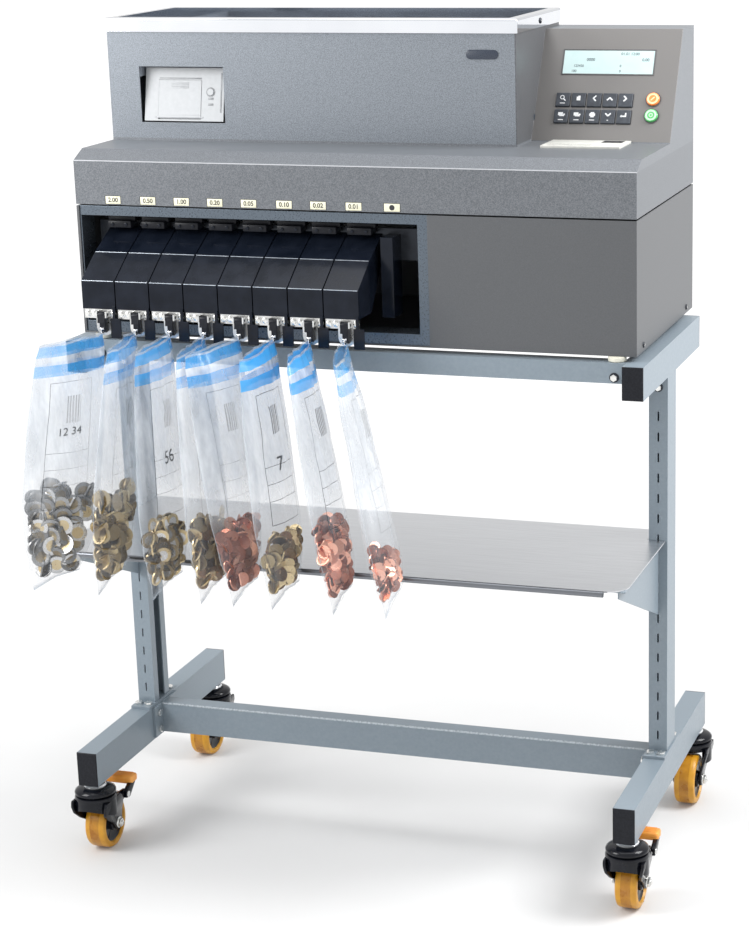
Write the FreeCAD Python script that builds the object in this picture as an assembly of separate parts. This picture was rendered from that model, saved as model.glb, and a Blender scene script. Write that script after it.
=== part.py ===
import FreeCAD, Part
import math
import os

os.makedirs("parts", exist_ok=True)
V = FreeCAD.Vector

# Machine box, in millimetres. X is the width, Y runs from the front to the back, Z is up.
WIDTH = 780.0
DEPTH = 338.0
SHEET = 2.0
ORIGIN_DEPTH = 86.0
LOWER_HEIGHT = 175.0
SEAM_GAP = 2.0
BAND_HEIGHT = 59.0
DECK_RISE = 13.0
DECK_BEVEL = 28.0
CONSOLE_WIDTH = 191.5
HOPPER_SETBACK = 124.0
HOPPER_RISE = 148.0
RIM_HEIGHT = 19.0
RIM_LIP = 12.0
RIM_OVERHANG = 2.5
CONSOLE_SETBACK = 189.3
CONSOLE_RISE = 143.6
CONSOLE_LEAN = 79.0

# Stand
STAND_CENTRE = 144.0
RAIL_WIDE = 30.0
RAIL_TALL = 50.0
RAIL_LENGTH = 449.0
TOP_RAIL_WIDE = 28.0
TOP_RAIL_TALL = 44.0
TOP_RAIL_LENGTH = 342.0
TUBE_WALL = 2.0
POST_WIDE = 26.0
POST_DEEP = 50.0
POST_MOUTH = 20.0
POST_HEIGHT = 540.0
SLOT_PITCH = 28.6
SLOT_LONG = 13.0
SLOT_WIDE = 2.4
FOOT_PLATE = 4.0
FOOT_REACH = 23.0
CROSSBAR_DEEP = 28.0
CROSSBAR_TALL = 45.0
CROSSBAR_SETBACK = 130.0
FLANGE = 4.0
FLANGE_REACH = 25.0
TOP_BAR = 27.0
CAP_FACE = 2.5
CAP_PLUG = 7.0
FIT_GAP = 0.2
BOLT_R = 3.0
BOLT_HOLE_R = 3.3
BOLT_HEAD = 10.0
BOLT_HEAD_TALL = 4.0

# Shelf
SHELF_TOP = 470.0
SHELF_SHEET = 1.5
SHELF_HALF = 401.0
SHELF_FRONT = -118.0
SHELF_CORNER = 28.0
HEM_R = 4.0
GUSSET = 1.8
GUSSET_DROP = 105.0
GUSSET_REACH = 225.0
GUSSET_NOSE = 10.0

# Castors
CASTOR_TALL = 109.0
STEM_INSET = 21.0
STEM_R = 6.0
RUN_FIT = 0.06
SPACER_R = 9.5
SPACER_TALL = 6.0
RACE_R = 29.0
RACE_TALL = 11.0
FORK_TOP = 12.0
HOOD_DROP = 15.0
HOOD_R = 23.0
TRAIL = 24.0
WHEEL_R = 37.5
WHEEL_WIDE = 31.0
AXLE_R = 4.0
LEG_SHEET = 4.0
LEG_GAP = 1.5
PEDAL_WIDE = 58.0
PEDAL_PIN_Y = 46.0
PEDAL_PIN_Z = 73.0
PEDAL_PIN_R = 3.0

# Coin outlets
OUTLETS = 8
OUTLET_PITCH = 49.5
OUTLET_START = 30.0
CHUTE_GAP = 1.5
CHUTE_WALL = 2.0
CHUTE_REACH = 60.0
CHUTE_ROOT = 40.0
CHUTE_RISE = 97.0
CHUTE_KNEE = 69.0
CHUTE_NOSE = 38.0
CHUTE_THROAT = 66.0
REJECT_GAP = 8.0
REJECT_WIDE = 17.0
STOP_WIDE = 15.0
STOP_TALL = 27.0
STOP_STEM = 4.0
PLATE_SHEET = 2.0
TONGUE_WIDE = 24.0
LEVER_SHIFT = 6.0
LEVER_WIDE = 11.0
LEVER_PIN_R = 2.0
BAG_TOP_GAP = 0.4

# Printer and keys
PRINTER_TILT = 12.0
PRINTER_WIDE = 118.0
PRINTER_TALL = 73.0
PRINTER_DEEP = 58.0
KEY_SIZE = 19.4
KEY_PITCH_X = 21.7
KEY_PITCH_S = 23.8
KEY_GAP = 0.3
KEY_PROUD = 2.5
KEY_TRAVEL = 1.2
ROUND_R = 9.0
ROUND_INSET = 29.5
KEY_FIELD_SHIFT = 5.2
DISPLAY_LEFT = 31.5
DISPLAY_RIGHT = 34.0
BUTTON_TRAVEL = 2.0

# Feed drive
DISC_R = 105.0
DISC_X = 250.0
DISC_Y = 150.0
SPINDLE_R = 6.0
DISC_PULLEY_R = 40.0
MOTOR_X = 335.0
MOTOR_SETBACK = 76.0
MOTOR_R = 30.0
MOTOR_FOOT = 36.0
TABLE_SHEET = 4.0
MOTOR_PULLEY_R = 15.0
MOTOR_SHAFT_R = 4.0
BELT_THICK = 2.0
BELT_WIDE = 8.0
BELT_GAP = 0.05

# Sizes that follow from the ones above
HALF = WIDTH / 2
RAIL_X = HALF + 1.0
RAIL_Z = CASTOR_TALL
RAIL_TOP = RAIL_Z + RAIL_TALL
POST_FRONT = STAND_CENTRE - POST_DEEP / 2
POST_TOP = RAIL_TOP + POST_HEIGHT
STAND_TOP = POST_TOP + TOP_RAIL_TALL
FOOT_TALL = 7.0
FLOOR_Z = STAND_TOP + FOOT_TALL
SEAM_Z = FLOOR_Z + LOWER_HEIGHT
LID_Z = SEAM_Z + SEAM_GAP
BEVEL_Z = LID_Z + BAND_HEIGHT
DECK_Z = BEVEL_Z + DECK_RISE
HOPPER_TOP = DECK_Z + HOPPER_RISE
HOPPER_RIGHT = HALF - CONSOLE_WIDTH
CONSOLE_ANGLE = math.degrees(math.atan2(CONSOLE_LEAN, CONSOLE_RISE))
STEM_FRONT = STAND_CENTRE - RAIL_LENGTH / 2 - CAP_FACE + STEM_INSET
STEM_REAR = STAND_CENTRE + RAIL_LENGTH / 2 + CAP_FACE - STEM_INSET
CHUTE_WIDE = OUTLET_PITCH - CHUTE_GAP
OUTLET_TOP = SEAM_Z - 13.0
TABLE_Z = FLOOR_Z + 118.0
MOTOR_Y = DEPTH - MOTOR_SETBACK
SIDES = (-1, 1)


def block(x0, x1, y0, y1, z0, z1):
    return Part.makeBox(x1 - x0, y1 - y0, z1 - z0, V(x0, y0, z0))


def rod(radius, start, direction, length):
    return Part.makeCylinder(radius, length, V(*start), V(*direction))


def outline(points, axis, start, end):
    # A flat outline given in the two other directions, pushed from start to end along one axis.
    if axis == "x":
        corners = [V(start, a, b) for a, b in points]
        push = V(end - start, 0, 0)
    elif axis == "y":
        corners = [V(a, start, b) for a, b in points]
        push = V(0, end - start, 0)
    else:
        corners = [V(a, b, start) for a, b in points]
        push = V(0, 0, end - start)
    return Part.Face(Part.makePolygon(corners + corners[:1])).extrude(push)


def fuse(first, *others):
    return first.fuse(list(others)).removeSplitter()


def turned(shape, angle, place):
    copy = shape.copy()
    copy.rotate(V(0, 0, 0), V(1, 0, 0), angle)
    copy.translate(place)
    return copy


def save(name, *solids):
    moved = []
    for solid in solids:
        for piece in solid.Solids:
            piece = piece.copy()
            piece.translate(V(0, -ORIGIN_DEPTH, 0))
            moved.append(piece)
    shape = moved[0] if len(moved) == 1 else Part.makeCompound(moved)
    shape.exportStep("parts/" + name + ".step")
    print(name, len(moved), "solids")


def square_tube(x0, x1, y0, y1, z0, z1, axis):
    wall = TUBE_WALL
    inner = [x0 + wall, x1 - wall, y0 + wall, y1 - wall, z0 + wall, z1 - wall]
    reach = {"x": (0, 1), "y": (2, 3)}[axis]
    inner[reach[0]] = inner[reach[0]] - 2 * wall
    inner[reach[1]] = inner[reach[1]] + 2 * wall
    return block(x0, x1, y0, y1, z0, z1).cut(block(*inner))


def hex_bolt(place, direction, grip):
    # The head sits on the face at place, the shank runs along direction through the plates.
    d = V(*direction)
    shank = rod(BOLT_R, place, direction, grip)
    across = BOLT_HEAD / math.sqrt(3)
    base = V(*place) - d * BOLT_HEAD_TALL
    side = V(0, 0, 1) if abs(d.z) < 0.5 else V(0, 1, 0)
    corners = []
    for step in range(7):
        arm = FreeCAD.Rotation(d, 60 * step).multVec(side)
        corners.append(base + arm * across)
    head = Part.Face(Part.makePolygon(corners)).extrude(d * BOLT_HEAD_TALL)
    return fuse(head, shank)


# Bolts of the stand: post feet down into the base rails, crossbar flanges into the rails
bolts = []
bolt_holes = []


def add_bolt(place, direction, grip):
    bolts.append(hex_bolt(place, direction, grip))
    deep = V(*place) - V(*direction) * 1.0
    hole = Part.makeCylinder(BOLT_HOLE_R, grip + 3.0, deep, V(*direction))
    bolt_holes.append(hole)


BASE_FLANGE_X = RAIL_X - RAIL_WIDE / 2
TOP_FLANGE_X = RAIL_X - TOP_RAIL_WIDE / 2
TOP_BAR_FRONTS = (-8.0, STAND_CENTRE + TOP_RAIL_LENGTH / 2 - TOP_BAR)
for side in SIDES:
    for y in (POST_FRONT - FOOT_REACH / 2, POST_FRONT + POST_DEEP + FOOT_REACH / 2):
        for x in (-7.5, 7.5):
            add_bolt((side * RAIL_X + x, y, RAIL_TOP + FOOT_PLATE), (0, 0, -1), 10.0)
    for y in (CROSSBAR_SETBACK - FLANGE_REACH / 2, CROSSBAR_SETBACK + CROSSBAR_DEEP + FLANGE_REACH / 2):
        for z in (RAIL_Z + 13.0, RAIL_TOP - 12.0):
            add_bolt((side * (BASE_FLANGE_X - FLANGE), y, z), (side, 0, 0), 10.0)
    for y in TOP_BAR_FRONTS:
        middle = STAND_TOP - TOP_BAR / 2
        add_bolt((side * (TOP_FLANGE_X - FLANGE), y + TOP_BAR + 8.0, middle), (side, 0, 0), 10.0)
all_holes = Part.makeCompound(bolt_holes)
save("frame_bolts", *bolts)

# Base rails: two rectangular tubes with holes for the castor stems
base_rails = []
for side in SIDES:
    x0 = side * RAIL_X - RAIL_WIDE / 2
    y0 = STAND_CENTRE - RAIL_LENGTH / 2
    rail = square_tube(x0, x0 + RAIL_WIDE, y0, y0 + RAIL_LENGTH, RAIL_Z, RAIL_TOP, "y")
    for y in (STEM_FRONT, STEM_REAR):
        rail = rail.cut(rod(STEM_R + 0.1, (side * RAIL_X, y, RAIL_Z - 1), (0, 0, 1), TUBE_WALL + 2))
    base_rails.append(rail.cut(all_holes))
save("base_rails", *base_rails)

# Base crossbar: one tube with a flange plate at each end
bar_z = RAIL_TOP - 1.0 - CROSSBAR_TALL
inner_x = BASE_FLANGE_X - FLANGE
bar = square_tube(-inner_x, inner_x, CROSSBAR_SETBACK, CROSSBAR_SETBACK + CROSSBAR_DEEP,
                  bar_z, bar_z + CROSSBAR_TALL, "x")
ends = []
for side in SIDES:
    face = sorted((side * inner_x, side * BASE_FLANGE_X))
    ends.append(block(face[0], face[1], CROSSBAR_SETBACK - FLANGE_REACH,
                      CROSSBAR_SETBACK + CROSSBAR_DEEP + FLANGE_REACH, bar_z - 1, RAIL_TOP))
save("base_crossbar", fuse(bar, *ends).cut(all_holes))

# Posts: slotted channels, open towards the middle, on bolted foot plates
SLOT_FIRST = SHELF_TOP - 26.4
slot_heights = []
step_z = SLOT_FIRST
while step_z > RAIL_TOP + 40:
    step_z = step_z - SLOT_PITCH
while step_z < POST_TOP - 30:
    if step_z > RAIL_TOP + 25:
        slot_heights.append(step_z)
    step_z = step_z + SLOT_PITCH
posts = []
for side in SIDES:
    x0 = side * RAIL_X - POST_WIDE / 2
    x1 = x0 + POST_WIDE
    y1 = POST_FRONT + POST_DEEP
    post = block(x0, x1, POST_FRONT, y1, RAIL_TOP, POST_TOP)
    post = post.cut(block(x0 + TUBE_WALL, x1 - TUBE_WALL, POST_FRONT + TUBE_WALL, y1 - TUBE_WALL,
                          RAIL_TOP + FOOT_PLATE, POST_TOP - FOOT_PLATE))
    mouth = sorted((side * RAIL_X, side * (RAIL_X - POST_WIDE)))
    post = post.cut(block(mouth[0], mouth[1], STAND_CENTRE - POST_MOUTH / 2, STAND_CENTRE + POST_MOUTH / 2,
                          RAIL_TOP + FOOT_PLATE, POST_TOP - FOOT_PLATE))
    slots = []
    for z in slot_heights:
        slot = block(side * RAIL_X - SLOT_WIDE / 2, side * RAIL_X + SLOT_WIDE / 2, POST_FRONT - 1,
                     POST_FRONT + TUBE_WALL + 1, z - SLOT_LONG / 2 + SLOT_WIDE / 2, z + SLOT_LONG / 2 - SLOT_WIDE / 2)
        slots.append(slot)
        for end in (-1, 1):
            middle = z + end * (SLOT_LONG / 2 - SLOT_WIDE / 2)
            slots.append(rod(SLOT_WIDE / 2, (side * RAIL_X, POST_FRONT - 1, middle), (0, 1, 0), TUBE_WALL + 2))
    post = post.cut(slots[0].fuse(slots[1:]))
    foot = block(side * RAIL_X - RAIL_WIDE / 2, side * RAIL_X + RAIL_WIDE / 2, POST_FRONT - FOOT_REACH,
                 y1 + FOOT_REACH, RAIL_TOP, RAIL_TOP + FOOT_PLATE)
    posts.append(fuse(post, foot).cut(all_holes))
save("posts", *posts)

# Top frame: two side rails and two crossbars that carry the machine's feet
top_frame = []
for side in SIDES:
    x0 = side * RAIL_X - TOP_RAIL_WIDE / 2
    y0 = STAND_CENTRE - TOP_RAIL_LENGTH / 2
    rail = square_tube(x0, x0 + TOP_RAIL_WIDE, y0, y0 + TOP_RAIL_LENGTH, POST_TOP, STAND_TOP, "y")
    top_frame.append(rail.cut(all_holes))
for y in TOP_BAR_FRONTS:
    inner_x = TOP_FLANGE_X - FLANGE
    bar = square_tube(-inner_x, inner_x, y, y + TOP_BAR, STAND_TOP - TOP_BAR, STAND_TOP, "x")
    ends = []
    for side in SIDES:
        face = sorted((side * inner_x, side * TOP_FLANGE_X))
        ends.append(block(face[0], face[1], y, y + TOP_BAR + 16.0, STAND_TOP - TOP_BAR, STAND_TOP))
    top_frame.append(fuse(bar, *ends).cut(all_holes))
save("top_frame", *top_frame)


def end_cap(side, y, outward, wide, z0, z1):
    # A plug with a face plate that closes one tube end; outward is -1 at the front, 1 at the back.
    x0 = side * RAIL_X - wide / 2
    face = sorted((y, y + outward * CAP_FACE))
    plug = sorted((y, y - outward * CAP_PLUG))
    inset = TUBE_WALL + FIT_GAP
    plate = block(x0, x0 + wide, face[0], face[1], z0, z1)
    edges = [e for e in plate.Edges if abs(e.CenterOfMass.y - (y + outward * CAP_FACE)) < 0.01]
    plate = plate.makeFillet(1.2, edges)
    stub = block(x0 + inset, x0 + wide - inset, plug[0], plug[1], z0 + inset, z1 - inset)
    return fuse(plate, stub)


caps = []
for side in SIDES:
    for outward in (-1, 1):
        caps.append(end_cap(side, STAND_CENTRE + outward * RAIL_LENGTH / 2, outward, RAIL_WIDE, RAIL_Z, RAIL_TOP))
        caps.append(end_cap(side, STAND_CENTRE + outward * TOP_RAIL_LENGTH / 2, outward, TOP_RAIL_WIDE,
                            POST_TOP, STAND_TOP))
save("end_caps", *caps)

# Shelf: one sheet, notched round the posts, with a rolled front edge
sheet_z = SHELF_TOP - SHELF_SHEET
wide = block(-SHELF_HALF, SHELF_HALF, SHELF_FRONT + HEM_R, POST_FRONT - 1.0, sheet_z, SHELF_TOP)
corners = []
for e in wide.Edges:
    upright = abs(e.BoundBox.ZLength - SHELF_SHEET) < 0.01
    if upright and e.CenterOfMass.y < SHELF_FRONT + HEM_R + 1:
        corners.append(e)
wide = wide.makeFillet(SHELF_CORNER, corners)
tail = block(-(RAIL_X - POST_WIDE / 2 - 1.5), RAIL_X - POST_WIDE / 2 - 1.5, POST_FRONT - 2.0,
             POST_FRONT + POST_DEEP, sheet_z, SHELF_TOP)
hem_half = SHELF_HALF - SHELF_CORNER
hem = rod(HEM_R, (-hem_half, SHELF_FRONT + HEM_R, SHELF_TOP - HEM_R), (1, 0, 0), 2 * hem_half)
save("shelf", fuse(wide, tail, hem))

# Shelf brackets: gusset plates that hook into the post slots
brackets = []
for side in SIDES:
    x0 = side * RAIL_X - GUSSET / 2
    y1 = POST_FRONT
    profile = [(y1, sheet_z), (y1 - GUSSET_REACH, sheet_z), (y1 - GUSSET_REACH, sheet_z - GUSSET_NOSE),
               (y1, sheet_z - GUSSET_DROP)]
    gusset = outline(profile, "x", x0, x0 + GUSSET)
    hooks = []
    held = [z for z in slot_heights if sheet_z - GUSSET_DROP + SLOT_LONG < z < sheet_z - SLOT_LONG / 2]
    for hook_z in (min(held), max(held)):
        hooks.append(block(x0, x0 + GUSSET, y1 - 1.0, y1 + TUBE_WALL + 3.0, hook_z - SLOT_LONG / 2 + 2.0,
                           hook_z + SLOT_LONG / 2 - 2.0))
    seat = block(side * RAIL_X - 9.0, side * RAIL_X + 9.0, y1 - GUSSET_REACH, y1 - 2.0, sheet_z - 2.0, sheet_z)
    brackets.append(fuse(gusset, seat, *hooks))
save("shelf_brackets", *brackets)

# Castors: fixed stem with its race, turning fork, wheel, and a pedal on the front pair
race_z = CASTOR_TALL - SPACER_TALL - RACE_TALL
fork_z1 = race_z - 0.3
fork_z0 = fork_z1 - FORK_TOP
axle_z = WHEEL_R
leg_in = WHEEL_WIDE / 2 + LEG_GAP
leg_out = leg_in + LEG_SHEET


def castor_stem(x, y):
    race = rod(RACE_R, (x, y, race_z), (0, 0, 1), RACE_TALL)
    race = race.makeFillet(3.0, [e for e in race.Edges if e.Length > 50])
    spacer = rod(SPACER_R, (x, y, CASTOR_TALL - SPACER_TALL - 0.5), (0, 0, 1), SPACER_TALL + 0.5)
    shank_z = fork_z0 - 0.3
    shank = rod(STEM_R, (x, y, shank_z), (0, 0, 1), CASTOR_TALL + TUBE_WALL + 11.0 - shank_z)
    head = rod(STEM_R + 4.0, (x, y, shank_z - 3.0), (0, 0, 1), 3.0)
    nut = rod(STEM_R + 3.5, (x, y, CASTOR_TALL + TUBE_WALL), (0, 0, 1), 7.0)
    return fuse(race, spacer, shank, head, nut)


def castor_fork(x, y, trail, pedal):
    # The legs lean from the race down to the axle, on the trailing side.
    lean = 1 if trail > 0 else -1
    axle_y = y + trail
    top = rod(RACE_R + 1.0, (x, y, fork_z0), (0, 0, 1), FORK_TOP)
    top = top.makeFillet(4.0, [e for e in top.Edges if e.Length > 50])
    pieces = []
    for side in SIDES:
        face = sorted((x + side * leg_in, x + side * leg_out))
        profile = [(y - lean * 19.0, fork_z0 + 6.0), (y - lean * 17.0, fork_z0 - 8.0),
                   (axle_y - lean * 9.0, axle_z - 6.0), (axle_y - lean * 4.0, axle_z - 9.0),
                   (axle_y + lean * 4.0, axle_z - 9.0), (axle_y + lean * 9.0, axle_z - 6.0),
                   (y + lean * 34.0, fork_z0 - 16.0), (y + lean * 20.0, fork_z0 + 6.0)]
        pieces.append(outline(profile, "x", face[0], face[1]))
        if pedal:
            ear = [(y + lean * 20.0, fork_z0 + 1.0), (y + lean * 30.0, fork_z0 - 18.0),
                   (y + lean * (PEDAL_PIN_Y + 6.0), PEDAL_PIN_Z - 6.0), (y + lean * (PEDAL_PIN_Y + 6.0), PEDAL_PIN_Z + 5.0)]
            pieces.append(outline(ear, "x", face[0], face[1]))
    hood = Part.makeCone(HOOD_R, RACE_R, HOOD_DROP, V(x, y, fork_z0 + 4.0 - HOOD_DROP), V(0, 0, 1))
    wheel_room = rod(WHEEL_R + 3.0, (x - leg_in, axle_y, axle_z), (1, 0, 0), 2 * leg_in)
    head_room = rod(STEM_R + 5.0, (x, y, fork_z0 - HOOD_DROP), (0, 0, 1), HOOD_DROP)
    pieces.append(hood.cut(wheel_room).cut(head_room))
    axle = rod(AXLE_R, (x - leg_out - 4.0, axle_y, axle_z), (1, 0, 0), 2 * leg_out + 8.0)
    fork = fuse(top, axle, *pieces)
    fork = fork.cut(rod(STEM_R + RUN_FIT, (x, y, fork_z0 - 1), (0, 0, 1), FORK_TOP + 2))
    if pedal:
        pin = rod(PEDAL_PIN_R + RUN_FIT, (x - leg_out - 2, y + lean * PEDAL_PIN_Y, PEDAL_PIN_Z), (1, 0, 0), 2 * leg_out + 4)
        fork = fork.cut(pin)
    return fork


def castor_wheel(x, y):
    # Tread moulded round a core, with a groove beside the hub on each face.
    half = WHEEL_WIDE / 2
    bore = AXLE_R + RUN_FIT
    profile = [(bore, -half - 1.0), (11.0, -half - 1.0), (13.0, -half + 4.0), (WHEEL_R - 10.0, -half + 4.0),
               (WHEEL_R - 8.0, -half), (WHEEL_R - 4.0, -half), (WHEEL_R - 1.0, -half + 2.0), (WHEEL_R, -half + 6.0),
               (WHEEL_R, half - 6.0), (WHEEL_R - 1.0, half - 2.0), (WHEEL_R - 4.0, half), (WHEEL_R - 8.0, half),
               (WHEEL_R - 10.0, half - 4.0), (13.0, half - 4.0), (11.0, half + 1.0), (bore, half + 1.0)]
    corners = [V(x + b, y, axle_z + a) for a, b in profile]
    face = Part.Face(Part.makePolygon(corners + corners[:1]))
    return face.revolve(V(x, y, axle_z), V(1, 0, 0), 360)


def brake_pedal(x, y):
    pin_y = y + PEDAL_PIN_Y
    arm_in = leg_out + 0.4
    arm_out = PEDAL_WIDE / 2
    pin = rod(PEDAL_PIN_R, (x - arm_out, pin_y, PEDAL_PIN_Z), (1, 0, 0), 2 * arm_out)
    pieces = []
    for side in SIDES:
        face = sorted((x + side * arm_in, x + side * arm_out))
        profile = [(pin_y - 5.0, PEDAL_PIN_Z - 5.0), (pin_y + 5.0, PEDAL_PIN_Z - 6.0), (pin_y + 26.0, PEDAL_PIN_Z + 11.0),
                   (pin_y + 11.0, PEDAL_PIN_Z + 13.0), (pin_y - 5.0, PEDAL_PIN_Z + 5.0)]
        pieces.append(outline(profile, "x", face[0], face[1]))
    tread = block(x - arm_out, x + arm_out, pin_y + 10.0, pin_y + 32.0, PEDAL_PIN_Z + 10.0, PEDAL_PIN_Z + 22.0)
    tread = tread.makeFillet(4.0, [e for e in tread.Edges if e.BoundBox.XLength > 20])
    return fuse(tread, pin, *pieces)


stems = []
for end, stem_y in (("front", STEM_FRONT), ("rear", STEM_REAR)):
    for name, side in (("left", -1), ("right", 1)):
        front = end == "front"
        trail = TRAIL if front else -TRAIL
        x = side * RAIL_X
        stems.append(castor_stem(x, stem_y))
        save("castor_fork_" + end + "_" + name, castor_fork(x, stem_y, trail, front))
        save("castor_wheel_" + end + "_" + name, castor_wheel(x, stem_y + trail))
        if front:
            save("brake_pedal_" + name, brake_pedal(x, stem_y))
save("castor_stems", *stems)

# Machine feet: rubber discs on the top crossbars
feet = []
for side in SIDES:
    for y in TOP_BAR_FRONTS:
        foot = rod(12.0, (side * (HALF - 27.0), y + TOP_BAR / 2, STAND_TOP), (0, 0, 1), FOOT_TALL)
        feet.append(foot.makeChamfer(1.0, [e for e in foot.Edges if e.Length > 50]))
save("machine_feet", *feet)

# Lower casing: a folded sheet tray with a wide notch in its front for the coin outlets
outlet_left = -HALF + 4.0
outlet_right = outlet_left + 497.0
casing = block(-HALF, HALF, 0, DEPTH, FLOOR_Z, SEAM_Z)
casing = casing.cut(block(-HALF + SHEET, HALF - SHEET, SHEET, DEPTH + 1, FLOOR_Z + SHEET, SEAM_Z + 1))
casing = casing.cut(block(outlet_left, outlet_right, -1, SHEET + 1, FLOOR_Z + SHEET, SEAM_Z + 1))
save("lower_casing", casing)

# Outlet frame: bright steel liner behind the notch, with a window for the chutes
liner = 1.5
frame_y = SHEET + liner
window_left = outlet_left + 2.0
window_right = outlet_right - 14.0
window_floor = FLOOR_Z + 17.0
plate = block(-HALF + SHEET, outlet_right + 14.0, SHEET, frame_y, FLOOR_Z + SHEET, SEAM_Z)
plate = plate.cut(block(window_left, window_right, SHEET - 1, frame_y + 1, window_floor, OUTLET_TOP))
wall_back = CHUTE_ROOT - FIT_GAP
left_wall = block(window_left - liner, window_left, SHEET, wall_back, window_floor - liner, OUTLET_TOP)
right_wall = block(window_right, window_right + liner, SHEET, wall_back, window_floor - liner, OUTLET_TOP)
floor_plate = block(window_left - liner, window_right + liner, SHEET, wall_back, window_floor - liner, window_floor)
save("outlet_frame", fuse(plate, left_wall, right_wall, floor_plate))

# Rear panel: closes the tray, carries the fixed hinge knuckles and the mains inlet
HINGE_R = 4.0
HINGE_PIN_R = 2.0
HINGE_LONG = 40.0
hinge_y = DEPTH + HINGE_R + 0.5
hinge_z = SEAM_Z + SEAM_GAP / 2
INLET_X = HALF - 90.0
INLET_Z = FLOOR_Z + 50.0
rear = block(-HALF + SHEET, HALF - SHEET, DEPTH - SHEET, DEPTH, FLOOR_Z + SHEET, SEAM_Z)
rear = rear.cut(block(INLET_X - 24.2, INLET_X + 24.2, DEPTH - SHEET - 1, DEPTH + 1, INLET_Z - 14.2, INLET_Z + 14.2))
hinge_parts = []
for x in (-250.0, 210.0):
    leaf = block(x, x + HINGE_LONG, DEPTH - 0.5, hinge_y, hinge_z - 10.0, hinge_z - HINGE_PIN_R)
    knuckle = rod(HINGE_R, (x, hinge_y, hinge_z), (1, 0, 0), HINGE_LONG)
    leaf = leaf.cut(block(x - 1, x + HINGE_LONG + 1, DEPTH - 2, hinge_y - HINGE_R / 2, SEAM_Z, hinge_z + 5))
    pin = rod(HINGE_PIN_R, (x - HINGE_LONG / 2, hinge_y, hinge_z), (1, 0, 0), 2 * HINGE_LONG)
    hinge_parts.extend([leaf, knuckle, pin])
save("rear_panel", fuse(rear, *hinge_parts))

# Mains inlet with its switch, a box through the rear panel with a flange outside
inlet = block(INLET_X - 24.0, INLET_X + 24.0, DEPTH - 34.0, DEPTH + 1.0, INLET_Z - 14.0, INLET_Z + 14.0)
flange = block(INLET_X - 27.0, INLET_X + 27.0, DEPTH, DEPTH + 2.5, INLET_Z - 17.0, INLET_Z + 17.0)
socket = block(INLET_X - 20.0, INLET_X + 6.0, DEPTH - 16.0, DEPTH + 3.0, INLET_Z - 10.0, INLET_Z + 10.0)
prongs = []
for dx, dz in ((-7.0, 3.5), (-14.0, -3.5), (0.0, -3.5)):
    x = INLET_X - 0.0 + dx
    prongs.append(block(x - 1.0, x + 1.0, DEPTH - 17.0, DEPTH - 3.0, INLET_Z + dz - 2.5, INLET_Z + dz + 2.5))
rocker = block(INLET_X + 10.0, INLET_X + 21.0, DEPTH + 2.0, DEPTH + 4.5, INLET_Z - 9.0, INLET_Z + 9.0)
save("power_inlet", fuse(fuse(inlet, flange).cut(socket), rocker, *prongs))

# Coin chutes: eight hollow hoods in a row and a narrow reject chute beside them
chute_z0 = FLOOR_Z + 46.0
first_x = -HALF + OUTLET_START
outer = [(CHUTE_ROOT, chute_z0 + CHUTE_RISE), (-14.0, chute_z0 + CHUTE_KNEE), (-CHUTE_REACH, chute_z0 + CHUTE_NOSE),
         (-CHUTE_REACH, chute_z0), (-12.0, chute_z0), (CHUTE_ROOT, chute_z0 + CHUTE_THROAT)]
wall = CHUTE_WALL
inner = [(CHUTE_ROOT + 4.0, chute_z0 + CHUTE_RISE - 0.2), (-13.3, chute_z0 + CHUTE_KNEE - 2.1),
         (-CHUTE_REACH + wall, chute_z0 + CHUTE_NOSE - 1.2), (-CHUTE_REACH + wall, chute_z0 - 4.0), (-17.7, chute_z0 - 4.0),
         (CHUTE_ROOT + 4.0, chute_z0 + CHUTE_THROAT + 8.3)]
chutes = []
for i in range(OUTLETS):
    x0 = first_x + OUTLET_PITCH * i + CHUTE_GAP / 2
    hood = outline(outer, "x", x0, x0 + CHUTE_WIDE)
    hood = hood.cut(outline(inner, "x", x0 + wall, x0 + CHUTE_WIDE - wall))
    edge_x = x0 + CHUTE_WIDE
    stem = block(edge_x - STOP_STEM, edge_x, -CHUTE_REACH - wall, -CHUTE_REACH + 0.5, chute_z0 - 14.0, chute_z0 + 4.0)
    stop = block(edge_x - STOP_WIDE / 2, edge_x + STOP_WIDE / 2, -CHUTE_REACH - wall, -CHUTE_REACH,
                 chute_z0 - 12.0 - STOP_TALL, chute_z0 - 12.0)
    chutes.append(fuse(hood, stem, stop))
reject_x = first_x + OUTLET_PITCH * OUTLETS + REJECT_GAP
reject_in = (reject_x + wall, reject_x + REJECT_WIDE - wall)
reject = block(reject_x, reject_x + REJECT_WIDE, 6.0, CHUTE_ROOT, chute_z0 - 9.0, chute_z0 + CHUTE_RISE)
reject = reject.cut(block(reject_in[0], reject_in[1], 6.0 + wall, CHUTE_ROOT - wall, chute_z0 - 10.0, chute_z0 + CHUTE_KNEE))
reject = reject.cut(block(reject_in[0], reject_in[1], 6.0 + wall, CHUTE_ROOT + 1.0, chute_z0 + CHUTE_THROAT + wall,
                          chute_z0 + CHUTE_RISE - wall))
chutes.append(reject)
save("coin_chutes", *chutes)

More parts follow.
